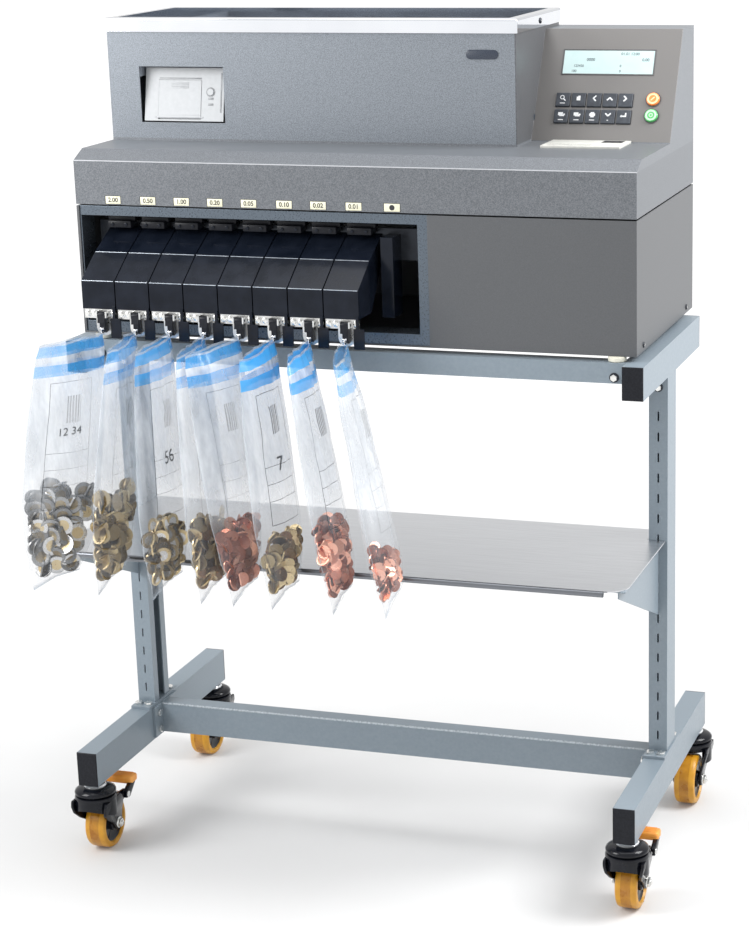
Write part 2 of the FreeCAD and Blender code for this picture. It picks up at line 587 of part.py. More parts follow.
# Bag plates: steel tongues under the chute fronts, with ears for the clip pins
plate_y0 = -CHUTE_REACH + wall
pin_y = plate_y0 - 6.0
pin_z = chute_z0 - 6.5
tongue_end = chute_z0 - 36.0
plates = []
clip_x = []
for i in range(OUTLETS):
    middle = first_x + OUTLET_PITCH * (i + 0.5)
    lever_x = middle + LEVER_SHIFT
    clip_x.append(lever_x)
    top = block(middle - CHUTE_WIDE / 2 + wall + 0.1, middle + CHUTE_WIDE / 2 - wall - 0.1, plate_y0, plate_y0 + PLATE_SHEET,
                chute_z0 - 1.0, chute_z0 + 16.0)
    apron = block(middle - CHUTE_WIDE / 2 + 1.0, middle + CHUTE_WIDE / 2 - 1.0, plate_y0, plate_y0 + PLATE_SHEET,
                  chute_z0 - 13.0, chute_z0 - 0.3)
    radius = TONGUE_WIDE / 2
    tongue = block(lever_x - radius, lever_x + radius, plate_y0, plate_y0 + PLATE_SHEET, tongue_end + radius, chute_z0 - 12.0)
    tip = rod(radius, (lever_x, plate_y0, tongue_end + radius), (0, 1, 0), PLATE_SHEET)
    ears = []
    for side in SIDES:
        face = sorted((lever_x + side * (LEVER_WIDE / 2 + 0.3), lever_x + side * (LEVER_WIDE / 2 + 2.3)))
        ears.append(block(face[0], face[1], pin_y - 4.0, plate_y0 + 1.0, pin_z - 4.0, pin_z + 4.5))
    bag_plate = fuse(top, apron, tongue, tip, *ears)
    bag_plate = bag_plate.cut(rod(LEVER_PIN_R + RUN_FIT, (lever_x - 20, pin_y, pin_z), (1, 0, 0), 40))
    plates.append(bag_plate)
save("bag_plates", *plates)

# Bag clips: levers that pinch the bag's rim against the tongue
for i in range(OUTLETS):
    x = clip_x[i]
    half = LEVER_WIDE / 2
    boss = rod(3.8, (x - half, pin_y, pin_z), (1, 0, 0), LEVER_WIDE)
    profile = [(pin_y - 3.5, pin_z + 1.0), (pin_y + 3.5, pin_z + 1.0), (plate_y0 - 1.6, pin_z - 12.0), (plate_y0 - 0.4, pin_z - 18.0),
               (plate_y0 - 0.4, pin_z - 23.0), (pin_y - 0.5, pin_z - 24.5), (pin_y - 4.5, pin_z - 20.0), (pin_y - 5.0, pin_z - 10.0)]
    arm = outline(profile, "x", x - half, x + half)
    arm = arm.cut(block(x - half - 1, x - half + 3.0, pin_y - 20, plate_y0 + 5, pin_z - 40, pin_z - 11.0))
    pin = rod(LEVER_PIN_R, (x - half - 2.5, pin_y, pin_z), (1, 0, 0), LEVER_WIDE + 5.0)
    save("bag_clip_" + str(i + 1), fuse(boss, arm, pin))

# Coin bags: closed soft shapes, held at their rear corner, that lean out past the shelf edge
BAG_CORNER = 1.0
BAG_TUCK = 7.0
BAG_FOOT_Y = -190.0
BAG_CORNERS = 16
# Each bag: turn at the mouth, turn at the foot, and how far its front tip sways from the lever
BAG_HANG = ((33.0, 55.0, -64.0), (-3.0, 10.0, -18.0), (3.0, 15.0, 12.0), (-2.0, 10.0, 31.0),
            (23.0, 10.0, 27.0), (5.0, 14.0, 32.0), (-5.0, 4.0, 67.0), (-14.0, 0.0, 89.0))
# Each row: height as a share of the drop, half width, half thickness
BAG_ROWS = ((0.0, 48.0, 5.0), (0.07, 53.0, 9.0), (0.35, 56.0, 15.0), (0.66, 54.0, 18.0),
            (0.84, 45.0, 19.0), (0.93, 37.0, 17.0), (1.0, 31.0, 4.0))
bag_top = tongue_end - BAG_TOP_GAP
bag_low = SHELF_TOP - 18.0
mouth_half = BAG_ROWS[0][1]
foot_half = BAG_ROWS[-1][1]


def width_way(turn):
    # The way from a bag's front tip to its rear seam, seen from above.
    return V(math.sin(math.radians(turn)), math.cos(math.radians(turn)), 0)


bags = []
for i in range(OUTLETS):
    mouth_turn, foot_turn, tip_sway = BAG_HANG[i]
    held_corner = V(clip_x[i] + BAG_CORNER, plate_y0 + BAG_TUCK, bag_top)
    mouth = held_corner - width_way(mouth_turn) * mouth_half
    foot = V(clip_x[i] + tip_sway, BAG_FOOT_Y, bag_low) + width_way(foot_turn) * foot_half
    wires = []
    for share, half_wide, half_thick in BAG_ROWS:
        across = width_way(mouth_turn + (foot_turn - mouth_turn) * share)
        out = V(across.y, -across.x, 0)
        centre = mouth + (foot - mouth) * share
        corners = []
        for step in range(BAG_CORNERS):
            angle = 2 * math.pi * (step + 0.5) / BAG_CORNERS
            corners.append(centre + across * (half_wide * math.cos(angle)) + out * (half_thick * math.sin(angle)))
        wires.append(Part.makePolygon(corners + corners[:1]))
    bags.append(Part.makeLoft(wires, True, True))
save("coin_bags", *bags)

# Sorting rail and feed table: one bracket with size-graded windows and the disc's bearing
COINS = (25.75, 24.25, 23.25, 22.25, 21.25, 19.75, 18.75, 16.25)
rail_z0 = TABLE_Z - 10.0
rail_plate = block(-HALF + 14.0, outlet_right, CHUTE_ROOT, CHUTE_ROOT + 3.0, rail_z0, rail_z0 + 42.0)
windows = []
for i in range(OUTLETS):
    middle = first_x + OUTLET_PITCH * (i + 0.5)
    size = COINS[i] + 0.6
    windows.append(block(middle - 19.0, middle + 19.0, CHUTE_ROOT - 1, CHUTE_ROOT + 4, rail_z0 + 12.0, rail_z0 + 12.0 + size))
rail_plate = rail_plate.cut(windows[0].fuse(windows[1:]))
ledge = block(-HALF + 14.0, outlet_right, CHUTE_ROOT, CHUTE_ROOT + 8.0, rail_z0 + 6.0, rail_z0 + 10.0)
table = block(outlet_right - 2.0, HALF - 6.0, CHUTE_ROOT - 8.0, DEPTH - 20.0, TABLE_Z - 4.0, TABLE_Z)
legs = []
for x, y in ((-HALF + 14.0, CHUTE_ROOT), (outlet_right - 14.0, CHUTE_ROOT), (HALF - 18.0, CHUTE_ROOT - 8.0),
             (HALF - 18.0, DEPTH - 32.0), (outlet_right, DEPTH - 32.0)):
    legs.append(block(x, x + 12.0, y, y + 3.0, FLOOR_Z + SHEET, TABLE_Z - 2.0))
bearing = rod(SPINDLE_R + RUN_FIT, (DISC_X, DISC_Y, TABLE_Z - 20), (0, 0, 1), 40)
motor_hole = rod(MOTOR_SHAFT_R + 1.0, (MOTOR_X, MOTOR_Y, TABLE_Z - 20), (0, 0, 1), 40)
feed_table = fuse(rail_plate, ledge, table, *legs).cut(bearing.fuse(motor_hole))
save("sorting_rail", feed_table)

# Feed disc with its spindle and the belt pulley below the table
disc_z = TABLE_Z + 2.0
pulley_z = TABLE_Z - 22.0
disc = rod(DISC_R, (DISC_X, DISC_Y, disc_z), (0, 0, 1), 8.0)
disc = disc.cut(rod(DISC_R - 6.0, (DISC_X, DISC_Y, disc_z + 4.0), (0, 0, 1), 10.0))
cone = Part.makeCone(34.0, 8.0, 14.0, V(DISC_X, DISC_Y, disc_z + 4.0), V(0, 0, 1))
spindle = rod(SPINDLE_R, (DISC_X, DISC_Y, pulley_z), (0, 0, 1), disc_z - pulley_z + 2.0)
pads = []
for step in range(3):
    pad = block(38.0, DISC_R - 12.0, -3.0, 3.0, disc_z + 3.0, disc_z + 6.5)
    pad.rotate(V(0, 0, 0), V(0, 0, 1), 120.0 * step)
    pad.translate(V(DISC_X, DISC_Y, 0))
    pads.append(pad)
pulley = rod(DISC_PULLEY_R, (DISC_X, DISC_Y, pulley_z), (0, 0, 1), BELT_WIDE + 4.0)
save("feed_disc", fuse(disc, cone, spindle, pulley, *pads))

# Motor under the table, its pulley, and the belt to the disc
motor_top = TABLE_Z - 26.0
motor = rod(MOTOR_R, (MOTOR_X, MOTOR_Y, FLOOR_Z + SHEET), (0, 0, 1), motor_top - FLOOR_Z - SHEET)
motor_base = block(MOTOR_X - MOTOR_FOOT, MOTOR_X + MOTOR_FOOT, MOTOR_Y - MOTOR_FOOT, MOTOR_Y + MOTOR_FOOT,
                   FLOOR_Z + SHEET, FLOOR_Z + SHEET + 5.0)
motor = fuse(motor, motor_base).cut(rod(MOTOR_SHAFT_R + RUN_FIT, (MOTOR_X, MOTOR_Y, motor_top - 20.0), (0, 0, 1), 30.0))
save("feed_motor", motor)
wheel = rod(MOTOR_PULLEY_R, (MOTOR_X, MOTOR_Y, pulley_z), (0, 0, 1), BELT_WIDE + 4.0)
shaft = rod(MOTOR_SHAFT_R, (MOTOR_X, MOTOR_Y, motor_top - 18.0), (0, 0, 1), pulley_z + 10.0 - motor_top + 18.0)
save("motor_pulley", fuse(wheel, shaft))


def belt_body(extra, z0, tall):
    # The outside of a belt that runs round both pulleys, this much wider than their grooves.
    big = DISC_PULLEY_R + extra
    small = MOTOR_PULLEY_R + extra
    reach = math.hypot(MOTOR_X - DISC_X, MOTOR_Y - DISC_Y)
    heading = math.degrees(math.atan2(MOTOR_Y - DISC_Y, MOTOR_X - DISC_X))
    slope = math.acos((big - small) / reach)
    points = []
    for angle in (slope, -slope):
        points.append(((big * math.cos(angle), big * math.sin(angle)),
                       (reach + small * math.cos(angle), small * math.sin(angle))))
    flanks = [points[0][0], points[0][1], points[1][1], points[1][0]]
    body = outline(flanks, "z", z0, z0 + tall)
    body = body.fuse([rod(big, (0, 0, z0), (0, 0, 1), tall), rod(small, (reach, 0, z0), (0, 0, 1), tall)])
    body.rotate(V(0, 0, 0), V(0, 0, 1), heading)
    body.translate(V(DISC_X, DISC_Y, 0))
    return body


belt = belt_body(BELT_GAP + BELT_THICK, pulley_z + 2.0, BELT_WIDE)
belt = belt.cut(belt_body(BELT_GAP, pulley_z + 1.0, BELT_WIDE + 2.0))
save("drive_belt", belt.removeSplitter())

# Upper casing: band, bevelled deck, hopper walls and console in one folded shell
band = [(0, LID_Z), (0, BEVEL_Z), (DECK_BEVEL, DECK_Z), (DEPTH, DECK_Z), (DEPTH, LID_Z)]
shell = outline(band, "x", -HALF, HALF)
shell = shell.fuse(block(-HALF, HOPPER_RIGHT, HOPPER_SETBACK, DEPTH, DECK_Z, HOPPER_TOP))
console_top = DECK_Z + CONSOLE_RISE
wedge = [(CONSOLE_SETBACK, DECK_Z), (CONSOLE_SETBACK + CONSOLE_LEAN, console_top), (DEPTH, console_top), (DEPTH, DECK_Z)]
shell = shell.fuse(outline(wedge, "x", HOPPER_RIGHT - 1.0, HALF)).removeSplitter()
t = SHEET
band_in = [(t, LID_Z - 1), (t, BEVEL_Z - 1.2), (DECK_BEVEL + 0.4, DECK_Z - t), (DEPTH - t, DECK_Z - t), (DEPTH - t, LID_Z - 1)]
shell = shell.cut(outline(band_in, "x", -HALF + t, HALF - t))
shell = shell.cut(block(-HALF + t, HOPPER_RIGHT - t, HOPPER_SETBACK + t, DEPTH - t, DECK_Z - t - 1, HOPPER_TOP + 1))
lean = CONSOLE_LEAN / CONSOLE_RISE
step_in = t / math.cos(math.radians(CONSOLE_ANGLE))
wedge_in = [(CONSOLE_SETBACK + step_in - lean * (t + 1), DECK_Z - t - 1), (CONSOLE_SETBACK + step_in + lean * (CONSOLE_RISE - t), console_top - t),
            (DEPTH - t, console_top - t), (DEPTH - t, DECK_Z - t - 1)]
shell = shell.cut(outline(wedge_in, "x", HOPPER_RIGHT, HALF - t))
coin_gate = block(HOPPER_RIGHT - t - 1, HOPPER_RIGHT + 1, HOPPER_SETBACK + 80.0, DEPTH - 60.0, DECK_Z + 6.0, DECK_Z + 34.0)
shell = shell.cut(coin_gate)
printer_x = -HALF + 108.5
printer_z = DECK_Z + 27.0
shell = shell.cut(block(printer_x - 62.5, printer_x + 62.5, HOPPER_SETBACK - 1, HOPPER_SETBACK + t + 1, printer_z - 2.0, printer_z + 74.0))

# Console face: its own directions are x, up the slope and out of the face
CONSOLE_PLACE = V(0, CONSOLE_SETBACK, DECK_Z)


def on_console(shape):
    return turned(shape, 90.0 - CONSOLE_ANGLE, CONSOLE_PLACE)


console_x = HOPPER_RIGHT
round_x = HALF - ROUND_INSET
round_flange = ROUND_R + 1.0
key_span = 4 * KEY_PITCH_X
key_x = (console_x + round_x - round_flange - key_span) / 2 + KEY_FIELD_SHIFT
key_places = []
for row in range(2):
    for column in range(5):
        key_places.append((key_x + KEY_PITCH_X * column, 60.0 - KEY_PITCH_S * row))
round_places = [(round_x, 62.0), (round_x, 38.5)]
window = (console_x + DISPLAY_LEFT, HALF - DISPLAY_RIGHT, 97.8, 132.3)
cuts = [on_console(block(window[0], window[1], window[2], window[3], -t - 2, 2))]
hole = KEY_SIZE / 2 + KEY_GAP
for x, s in key_places:
    cuts.append(on_console(block(x - hole, x + hole, s - hole, s + hole, -t - 2, 2)))
for x, s in round_places:
    cuts.append(on_console(rod(ROUND_R + KEY_GAP, (x, s, -t - 2), (0, 0, 1), t + 4)))
shell = shell.cut(cuts[0].fuse(cuts[1:]))
lid_hinge = []
for x in (-250.0, 210.0):
    for x0 in (x - HINGE_LONG / 2, x + HINGE_LONG + 0.2):
        leaf = block(x0, x0 + HINGE_LONG / 2 - 0.2, DEPTH - 0.5, hinge_y, hinge_z + HINGE_PIN_R, hinge_z + 10.0)
        knuckle = rod(HINGE_R, (x0, hinge_y, hinge_z), (1, 0, 0), HINGE_LONG / 2 - 0.2)
        lid_hinge.append(leaf.fuse(knuckle))
shell = fuse(shell, *lid_hinge)
for x in (-250.0, 210.0):
    shell = shell.cut(rod(HINGE_PIN_R + RUN_FIT, (x - HINGE_LONG, hinge_y, hinge_z), (1, 0, 0), 3 * HINGE_LONG))
save("upper_casing", shell)

# Hopper tray: sloping floor inside the hopper walls that leads to the coin gate
tray_x0 = -HALF + t
tray_x1 = HOPPER_RIGHT - t
floor_high = DECK_Z + 88.0
floor_low = DECK_Z + 4.0
slope = [(tray_x0, floor_high), (tray_x0 + 60.0, floor_high), (tray_x1, floor_low), (tray_x1, floor_low - 2.0),
         (tray_x0 + 59.0, floor_high - 2.0), (tray_x0, floor_high - 2.0)]
floor_sheet = outline(slope, "y", HOPPER_SETBACK + t, DEPTH - t)
printer_bay = block(printer_x - 66.0, printer_x + 66.0, HOPPER_SETBACK, HOPPER_SETBACK + 84.0, DECK_Z, HOPPER_TOP)
hood_outer = block(printer_x - 66.0, printer_x + 66.0, HOPPER_SETBACK + t, HOPPER_SETBACK + 84.0, floor_low + 50.0, printer_z + 92.0)
hood_inner = block(printer_x - 64.0, printer_x + 64.0, HOPPER_SETBACK, HOPPER_SETBACK + 82.0, floor_low, printer_z + 90.0)
below = outline([(tray_x0 - 1, DECK_Z - 20), (tray_x0 - 1, floor_high - 1.0), (tray_x0 + 59.5, floor_high - 1.0),
                 (tray_x1, floor_low - 1.0), (tray_x1, DECK_Z - 20)], "y", HOPPER_SETBACK, DEPTH)
hood = hood_outer.cut(hood_inner).cut(below)
tray = fuse(floor_sheet.cut(printer_bay), hood)
save("hopper_tray", tray)

# Hopper rim: bright trim round the hopper mouth
over = RIM_OVERHANG
rim = block(-HALF - over, HOPPER_RIGHT + over, HOPPER_SETBACK - over, DEPTH + over, HOPPER_TOP, HOPPER_TOP + RIM_HEIGHT)
rim = rim.makeFillet(3.0, [e for e in rim.Edges if e.BoundBox.ZLength > 5 or e.CenterOfMass.z > HOPPER_TOP + 5])
rim = rim.cut(block(-HALF + RIM_LIP, HOPPER_RIGHT - RIM_LIP, HOPPER_SETBACK + RIM_LIP, DEPTH - RIM_LIP, HOPPER_TOP - 1, HOPPER_TOP + RIM_HEIGHT + 1))
rim = rim.cut(block(-HALF + t, HOPPER_RIGHT - t, HOPPER_SETBACK + t, DEPTH - t, HOPPER_TOP - 1, HOPPER_TOP + RIM_HEIGHT - 3.0))
save("hopper_rim", rim)

# Display window, set into the console face
glass = block(window[0] + 0.3, window[1] - 0.3, window[2] + 0.3, window[3] - 0.3, -t, 0.4)
bezel = block(window[0] - 3.0, window[1] + 3.0, window[2] - 3.0, window[3] + 3.0, -t - 3.0, -t)
save("display_window", on_console(fuse(glass, bezel)))

# Keys and round buttons: caps through the face, each with a stop flange behind it
back = -t - 0.1
for i in range(len(key_places)):
    x, s = key_places[i]
    h = KEY_SIZE / 2
    cap = block(x - h, x + h, s - h, s + h, back, KEY_PROUD)
    cap = cap.makeFillet(1.0, [e for e in cap.Edges if e.CenterOfMass.z > KEY_PROUD - 0.1])
    stop = block(x - h - 0.9, x + h + 0.9, s - h - 0.9, s + h + 0.9, back - 1.2, back)
    name = "key_" + ("top" if i < 5 else "bottom") + "_" + str(i % 5 + 1)
    save(name, on_console(fuse(cap, stop)))
for name, place in zip(("stop_button", "start_button"), round_places):
    x, s = place
    cap = rod(ROUND_R, (x, s, back), (0, 0, 1), 4.0 - back)
    cap = cap.makeFillet(1.5, [e for e in cap.Edges if e.CenterOfMass.z > 3.9 and e.Length > 20])
    stop = rod(round_flange, (x, s, back - 1.2), (0, 0, 1), 1.2)
    save(name, on_console(fuse(cap, stop)))

# Control board behind the console face, on four spacers
board_n = -t - 16.0
board = block(console_x + 14.0, HALF - 14.0, 14.0, 150.0, board_n - 1.6, board_n)
spacers = []
for x in (console_x + 18.0, HALF - 8.0 - 10.0):
    for s in (18.0, 146.0):
        spacers.append(rod(3.0, (x, s, board_n - 1.0), (0, 0, 1), -t - board_n + 1.0))
chips = [block(console_x + 60.0, console_x + 90.0, 100.0, 130.0, board_n - 4.6, board_n - 1.6),
         block(console_x + 105.0, console_x + 140.0, 30.0, 50.0, board_n - 10.6, board_n - 1.6)]
save("control_board", on_console(fuse(board, *(spacers + chips))))

# Printer: a tilted body in the hopper front with a paper bay, a door and a feed button
PRINTER_PLACE = V(printer_x, HOPPER_SETBACK + 1.0, printer_z)


def on_printer(shape):
    return turned(shape, 90.0 - PRINTER_TILT, PRINTER_PLACE)


half = PRINTER_WIDE / 2
door = (-38.5, 25.0, 6.0, 56.0)
button_place = (39.0, 40.0)
body = block(-half, half, 0, PRINTER_TALL, -PRINTER_DEEP, 0)
body = body.cut(block(door[0] + 2.0, door[1] - 2.0, door[2] + 2.0, door[3] - 2.0, -44.0, 1.0))
body = body.cut(block(door[0] - 0.4, door[1] + 0.4, door[2] - 4.0, door[3] + 0.4, -3.0, 1.0))
body = body.cut(rod(5.3, (button_place[0], button_place[1], -8.0), (0, 0, 1), 9.0))
pivot_r = 1.5
pivot_s = door[2] - 1.0
pivot_n = -1.2
body = body.cut(rod(pivot_r + RUN_FIT, (door[0] - 4.0, pivot_s, pivot_n), (1, 0, 0), door[1] - door[0] + 8.0))
lugs = []
for side in SIDES:
    face = sorted((side * half, side * (half + 4.9)))
    lugs.append(block(face[0], face[1], 8.0, PRINTER_TALL - 8.0, -20.0, -14.0))
save("printer_body", on_printer(fuse(body, *lugs)))
leaf = block(door[0], door[1], door[2] - 1.0, door[3], -2.6, 0.6)
pivot = rod(pivot_r, (door[0] - 3.5, pivot_s, pivot_n), (1, 0, 0), door[1] - door[0] + 7.0)
save("printer_door", on_printer(fuse(leaf, pivot)))
feed_button = rod(5.0, (button_place[0], button_place[1], -4.0), (0, 0, 1), 5.5)
save("printer_feed_button", on_printer(feed_button.makeFillet(0.8, [e for e in feed_button.Edges if e.CenterOfMass.z > 1.4 and e.Length > 20])))

print("hinge axis", hinge_y - ORIGIN_DEPTH, hinge_z, "console angle", CONSOLE_ANGLE)
print("stems", STEM_FRONT - ORIGIN_DEPTH, STEM_REAR - ORIGIN_DEPTH, "clip pins", pin_y - ORIGIN_DEPTH, pin_z)
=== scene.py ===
# %% [markdown]
# A coin sorting machine on a wheeled stand, dressed for a studio picture.
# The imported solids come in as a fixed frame. Every new piece is placed in that frame, in metres,
# and rides on one of its bodies, so the lid, the castors and the keys carry their own details.

# %% Load the frame
import math
import random

import bmesh
import bpy
from mathutils import Matrix, Vector, noise


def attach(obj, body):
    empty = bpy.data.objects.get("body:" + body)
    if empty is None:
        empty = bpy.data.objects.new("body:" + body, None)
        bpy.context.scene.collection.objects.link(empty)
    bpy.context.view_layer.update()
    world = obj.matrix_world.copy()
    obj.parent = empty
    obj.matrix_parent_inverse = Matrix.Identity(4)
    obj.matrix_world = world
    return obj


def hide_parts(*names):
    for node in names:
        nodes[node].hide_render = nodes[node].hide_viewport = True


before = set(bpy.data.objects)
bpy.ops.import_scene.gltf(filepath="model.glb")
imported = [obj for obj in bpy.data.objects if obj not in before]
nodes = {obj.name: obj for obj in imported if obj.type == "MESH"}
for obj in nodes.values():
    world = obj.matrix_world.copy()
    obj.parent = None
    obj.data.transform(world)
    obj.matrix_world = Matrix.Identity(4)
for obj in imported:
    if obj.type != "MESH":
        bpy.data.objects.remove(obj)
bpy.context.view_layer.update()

ORIGIN_DEPTH = 86

# %% [markdown]
# Sizes are easier to read in millimetres from the machine's front face, as they were measured.
# `at` turns such a place into metres in the shared frame, and TO_FRAME does it for a whole mesh.


# %% Places and small mesh helpers
def at(x, y, z):
    return Vector((x, y - ORIGIN_DEPTH, z)) / 1000


def mm(value):
    return value / 1000


TO_FRAME = Matrix.Translation((0, -mm(ORIGIN_DEPTH), 0)) @ Matrix.Scale(0.001, 4)


def mark_sharp(bm, degrees):
    limit = math.radians(degrees)
    for face in bm.faces:
        face.smooth = True
    for edge in bm.edges:
        if len(edge.link_faces) == 2 and edge.calc_face_angle(0) > limit:
            edge.smooth = False


def show(item):
    bpy.context.scene.collection.objects.link(item)


def finish_piece(bm, name, materials, body, replaces=(), sharp=35, place=None):
    # Moves a bmesh in millimetres to its place in the frame and lets it ride on a body there.
    for matrix in (place, TO_FRAME):
        if matrix is not None:
            bmesh.ops.transform(bm, matrix=matrix, verts=bm.verts)
    mark_sharp(bm, sharp)
    mesh = bpy.data.meshes.new(name)
    bm.to_mesh(mesh)
    bm.free()
    for material in materials:
        mesh.materials.append(material)
    piece = bpy.data.objects.new(name, mesh)
    show(piece)
    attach(piece, body)
    if replaces:
        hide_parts(*replaces)


def bevel(bm, edges, width, segments=2):
    return bmesh.ops.bevel(bm, geom=list(edges), offset=width, offset_type="OFFSET", affect="EDGES",
                           segments=segments, profile=0.5, material=-1, clamp_overlap=True)


def round_off(bm, verts, width, index, segments=2, caps_only=False):
    # Paints a new shape, rounds its edges or only those of its caps, and gives back its vertices.
    faces = {f for v in verts for f in v.link_faces}
    for face in faces:
        face.material_index = index
    if not width:
        return verts
    edges = {e for f in faces if not caps_only or len(f.verts) > 4 for e in f.edges}
    made = bevel(bm, edges, width, segments)
    return list({v for f in [*made["faces"], *faces] if f.is_valid for v in f.verts})


def turn_to(way):
    # The turn that lays the upright direction along another one.
    return Vector((0, 0, 1)).rotation_difference(Vector(way)).to_matrix().to_4x4()


def add_block(bm, low, high, edge=0, turn=None, index=0, segments=2):
    # A box between two corners in millimetres, with rounded edges; turn places it elsewhere.
    low, high = Vector(low), Vector(high)
    verts = bmesh.ops.create_cube(bm, size=1)["verts"]
    bmesh.ops.scale(bm, vec=high - low, verts=verts)
    bmesh.ops.translate(bm, vec=(low + high) / 2, verts=verts)
    verts = round_off(bm, verts, edge, index, segments)
    if turn is not None:
        bmesh.ops.transform(bm, matrix=turn, verts=verts)


def add_rod(bm, start, end, radius, sides=24, edge=0, index=0):
    # A round bar from start to end, in millimetres.
    start, end = Vector(start), Vector(end)
    along = end - start
    made = bmesh.ops.create_cone(bm, cap_ends=True, cap_tris=False, segments=sides, radius1=radius,
                                 radius2=radius, depth=along.length)
    verts = round_off(bm, made["verts"], edge, index, caps_only=True)
    bmesh.ops.transform(bm, matrix=Matrix.Translation((start + end) / 2) @ turn_to(along), verts=verts)


# %% [markdown]
# Finishes are procedural. Each one reads Object coordinates, so a pattern keeps its true size in
# metres on every piece, and varies its colour, roughness and relief instead of being one flat tone.


# %% Finish builder
RELIEF_DEPTH = 0.0004
COAT_ROUGHNESS = 0.08


def node_tree(name):
    material = bpy.data.materials.new(name)
    material.use_nodes = True
    return material, material.node_tree, material.node_tree.nodes["Principled BSDF"]


def set_sockets(node, **values):
    for socket, value in values.items():
        node.inputs[socket.replace("_", " ")].default_value = value


def add_noise(tree, scale, detail=3, rough=0.55, stretch=(1, 1, 1)):
    where = tree.nodes.new("ShaderNodeTexCoord")
    mapping = tree.nodes.new("ShaderNodeMapping")
    set_sockets(mapping, Scale=stretch)
    grain = tree.nodes.new("ShaderNodeTexNoise")
    set_sockets(grain, Scale=scale, Detail=detail, Roughness=rough)
    tree.links.new(where.outputs["Object"], mapping.inputs["Vector"])
    tree.links.new(mapping.outputs["Vector"], grain.inputs["Vector"])
    return grain.outputs["Fac"]


def add_ramp(tree, source, *stops):
    ramp = tree.nodes.new("ShaderNodeValToRGB")
    for element, (place, colour) in zip(ramp.color_ramp.elements, stops):
        element.position = place
        element.color = (*colour, 1)
    tree.links.new(source, ramp.inputs["Fac"])
    return ramp.outputs["Color"]


def add_range(tree, source, low, high, start=0.3, end=0.7):
    # Stretches a value, so that start to end becomes low to high.
    node = tree.nodes.new("ShaderNodeMapRange")
    set_sockets(node, From_Min=start, From_Max=end, To_Min=low, To_Max=high)
    tree.links.new(source, node.inputs["Value"])
    return node.outputs["Result"]


def add_relief(tree, shader, source, strength, distance):
    bump = tree.nodes.new("ShaderNodeBump")
    set_sockets(bump, Strength=strength, Distance=distance)
    tree.links.new(source, bump.inputs["Height"])
    tree.links.new(bump.outputs["Normal"], shader.inputs["Normal"])


def make_finish(name, dark, light, scale, rough, relief, relief_scale, metallic=0, stretch=(1, 1, 1),
                coat=0, spread=0.06, shine=0.5):
    # Two tones mixed by a noise, roughness that wanders a little, and a fine relief.
    material, tree, shader = node_tree(name)
    tone = add_noise(tree, scale, stretch=stretch)
    tree.links.new(add_ramp(tree, tone, (0.3, dark), (0.7, light)), shader.inputs["Base Color"])
    tree.links.new(add_range(tree, tone, rough - spread, rough + spread), shader.inputs["Roughness"])
    add_relief(tree, shader, add_noise(tree, relief_scale, stretch=stretch), relief, RELIEF_DEPTH)
    set_sockets(shader, Metallic=metallic, Specular_IOR_Level=shine, Coat_Weight=coat,
                Coat_Roughness=COAT_ROUGHNESS)
    return material


# %% [markdown]
# One line per finish: its dark and light tone, the scale of the pattern, the roughness, and the
# strength and scale of the relief. Paint and plastic have no metallic part, bare metal has all of it.

# %% Finishes of the machine and the stand
panel_coat = make_finish("smooth_grey_coat", (0.085, 0.089, 0.095), (0.106, 0.11, 0.117), 900, 0.4, 0.05, 900,
                         metallic=0.2)
stand_coat = make_finish("stand_blue_grey", (0.192, 0.236, 0.274), (0.214, 0.259, 0.298), 240, 0.34, 0.08, 500)
shelf_steel = make_finish("brushed_shelf", (0.64, 0.65, 0.67), (0.8, 0.81, 0.83), 14, 0.34, 0.1, 14,
                          metallic=1, stretch=(1, 60, 60))
liner_steel = make_finish("liner_steel", (0.105, 0.128, 0.155), (0.122, 0.147, 0.176), 420, 0.3, 0.05, 300,
                          metallic=0.7)
# Dark steel for screw heads and washers, and painted shade on the sorting rail inside the window.
dark_steel_and_shade = make_finish("dark_steel_and_shade", (0.02, 0.023, 0.03), (0.035, 0.04, 0.05), 90, 0.35, 0.08, 300, metallic=0.6)
plate_steel = make_finish("plate_steel", (0.55, 0.55, 0.54), (0.8, 0.8, 0.79), 60, 0.3, 0.12, 180,
                          metallic=0.9)
zinc = make_finish("zinc_bolts", (0.7, 0.7, 0.68), (0.92, 0.92, 0.9), 160, 0.22, 0.15, 400, metallic=1)
chrome = make_finish("bright_chrome", (0.78, 0.8, 0.84), (0.88, 0.9, 0.93), 8, 0.07, 0.02, 60, metallic=1,
                     spread=0.02)
tray_steel = make_finish("tray_steel", (0.48, 0.53, 0.6), (0.56, 0.61, 0.68), 240, 0.36, 0.05, 500, metallic=0.2)
chute_gloss = make_finish("chute_gloss", (0.004, 0.006, 0.011), (0.009, 0.012, 0.02), 40, 0.12, 0.03, 260,
                          shine=0.22, spread=0.03)
black_moulding = make_finish("black_moulding", (0.006, 0.007, 0.01), (0.014, 0.015, 0.02), 400, 0.36, 0.15, 900,
                             shine=0.2)
castor_gloss = make_finish("castor_gloss", (0.003, 0.0035, 0.006), (0.007, 0.008, 0.012), 60, 0.14, 0.03, 300,
                           shine=0.28, spread=0.03)
amber_tread = make_finish("amber_tread", (0.5, 0.225, 0.01), (0.64, 0.32, 0.022), 70, 0.34, 0.1, 240)
brown_tread = make_finish("brown_tread", (0.32, 0.12, 0.007), (0.5, 0.225, 0.014), 70, 0.3, 0.1, 240)
pedal_orange = make_finish("pedal_orange", (0.82, 0.3, 0.04), (0.92, 0.4, 0.08), 60, 0.4, 0.15, 500)
foot_rubber = make_finish("cream_rubber", (0.62, 0.6, 0.5), (0.76, 0.74, 0.64), 120, 0.6, 0.2, 600)
printer_white = make_finish("printer_white", (0.42, 0.435, 0.45), (0.46, 0.475, 0.49), 160, 0.42, 0.1, 800)
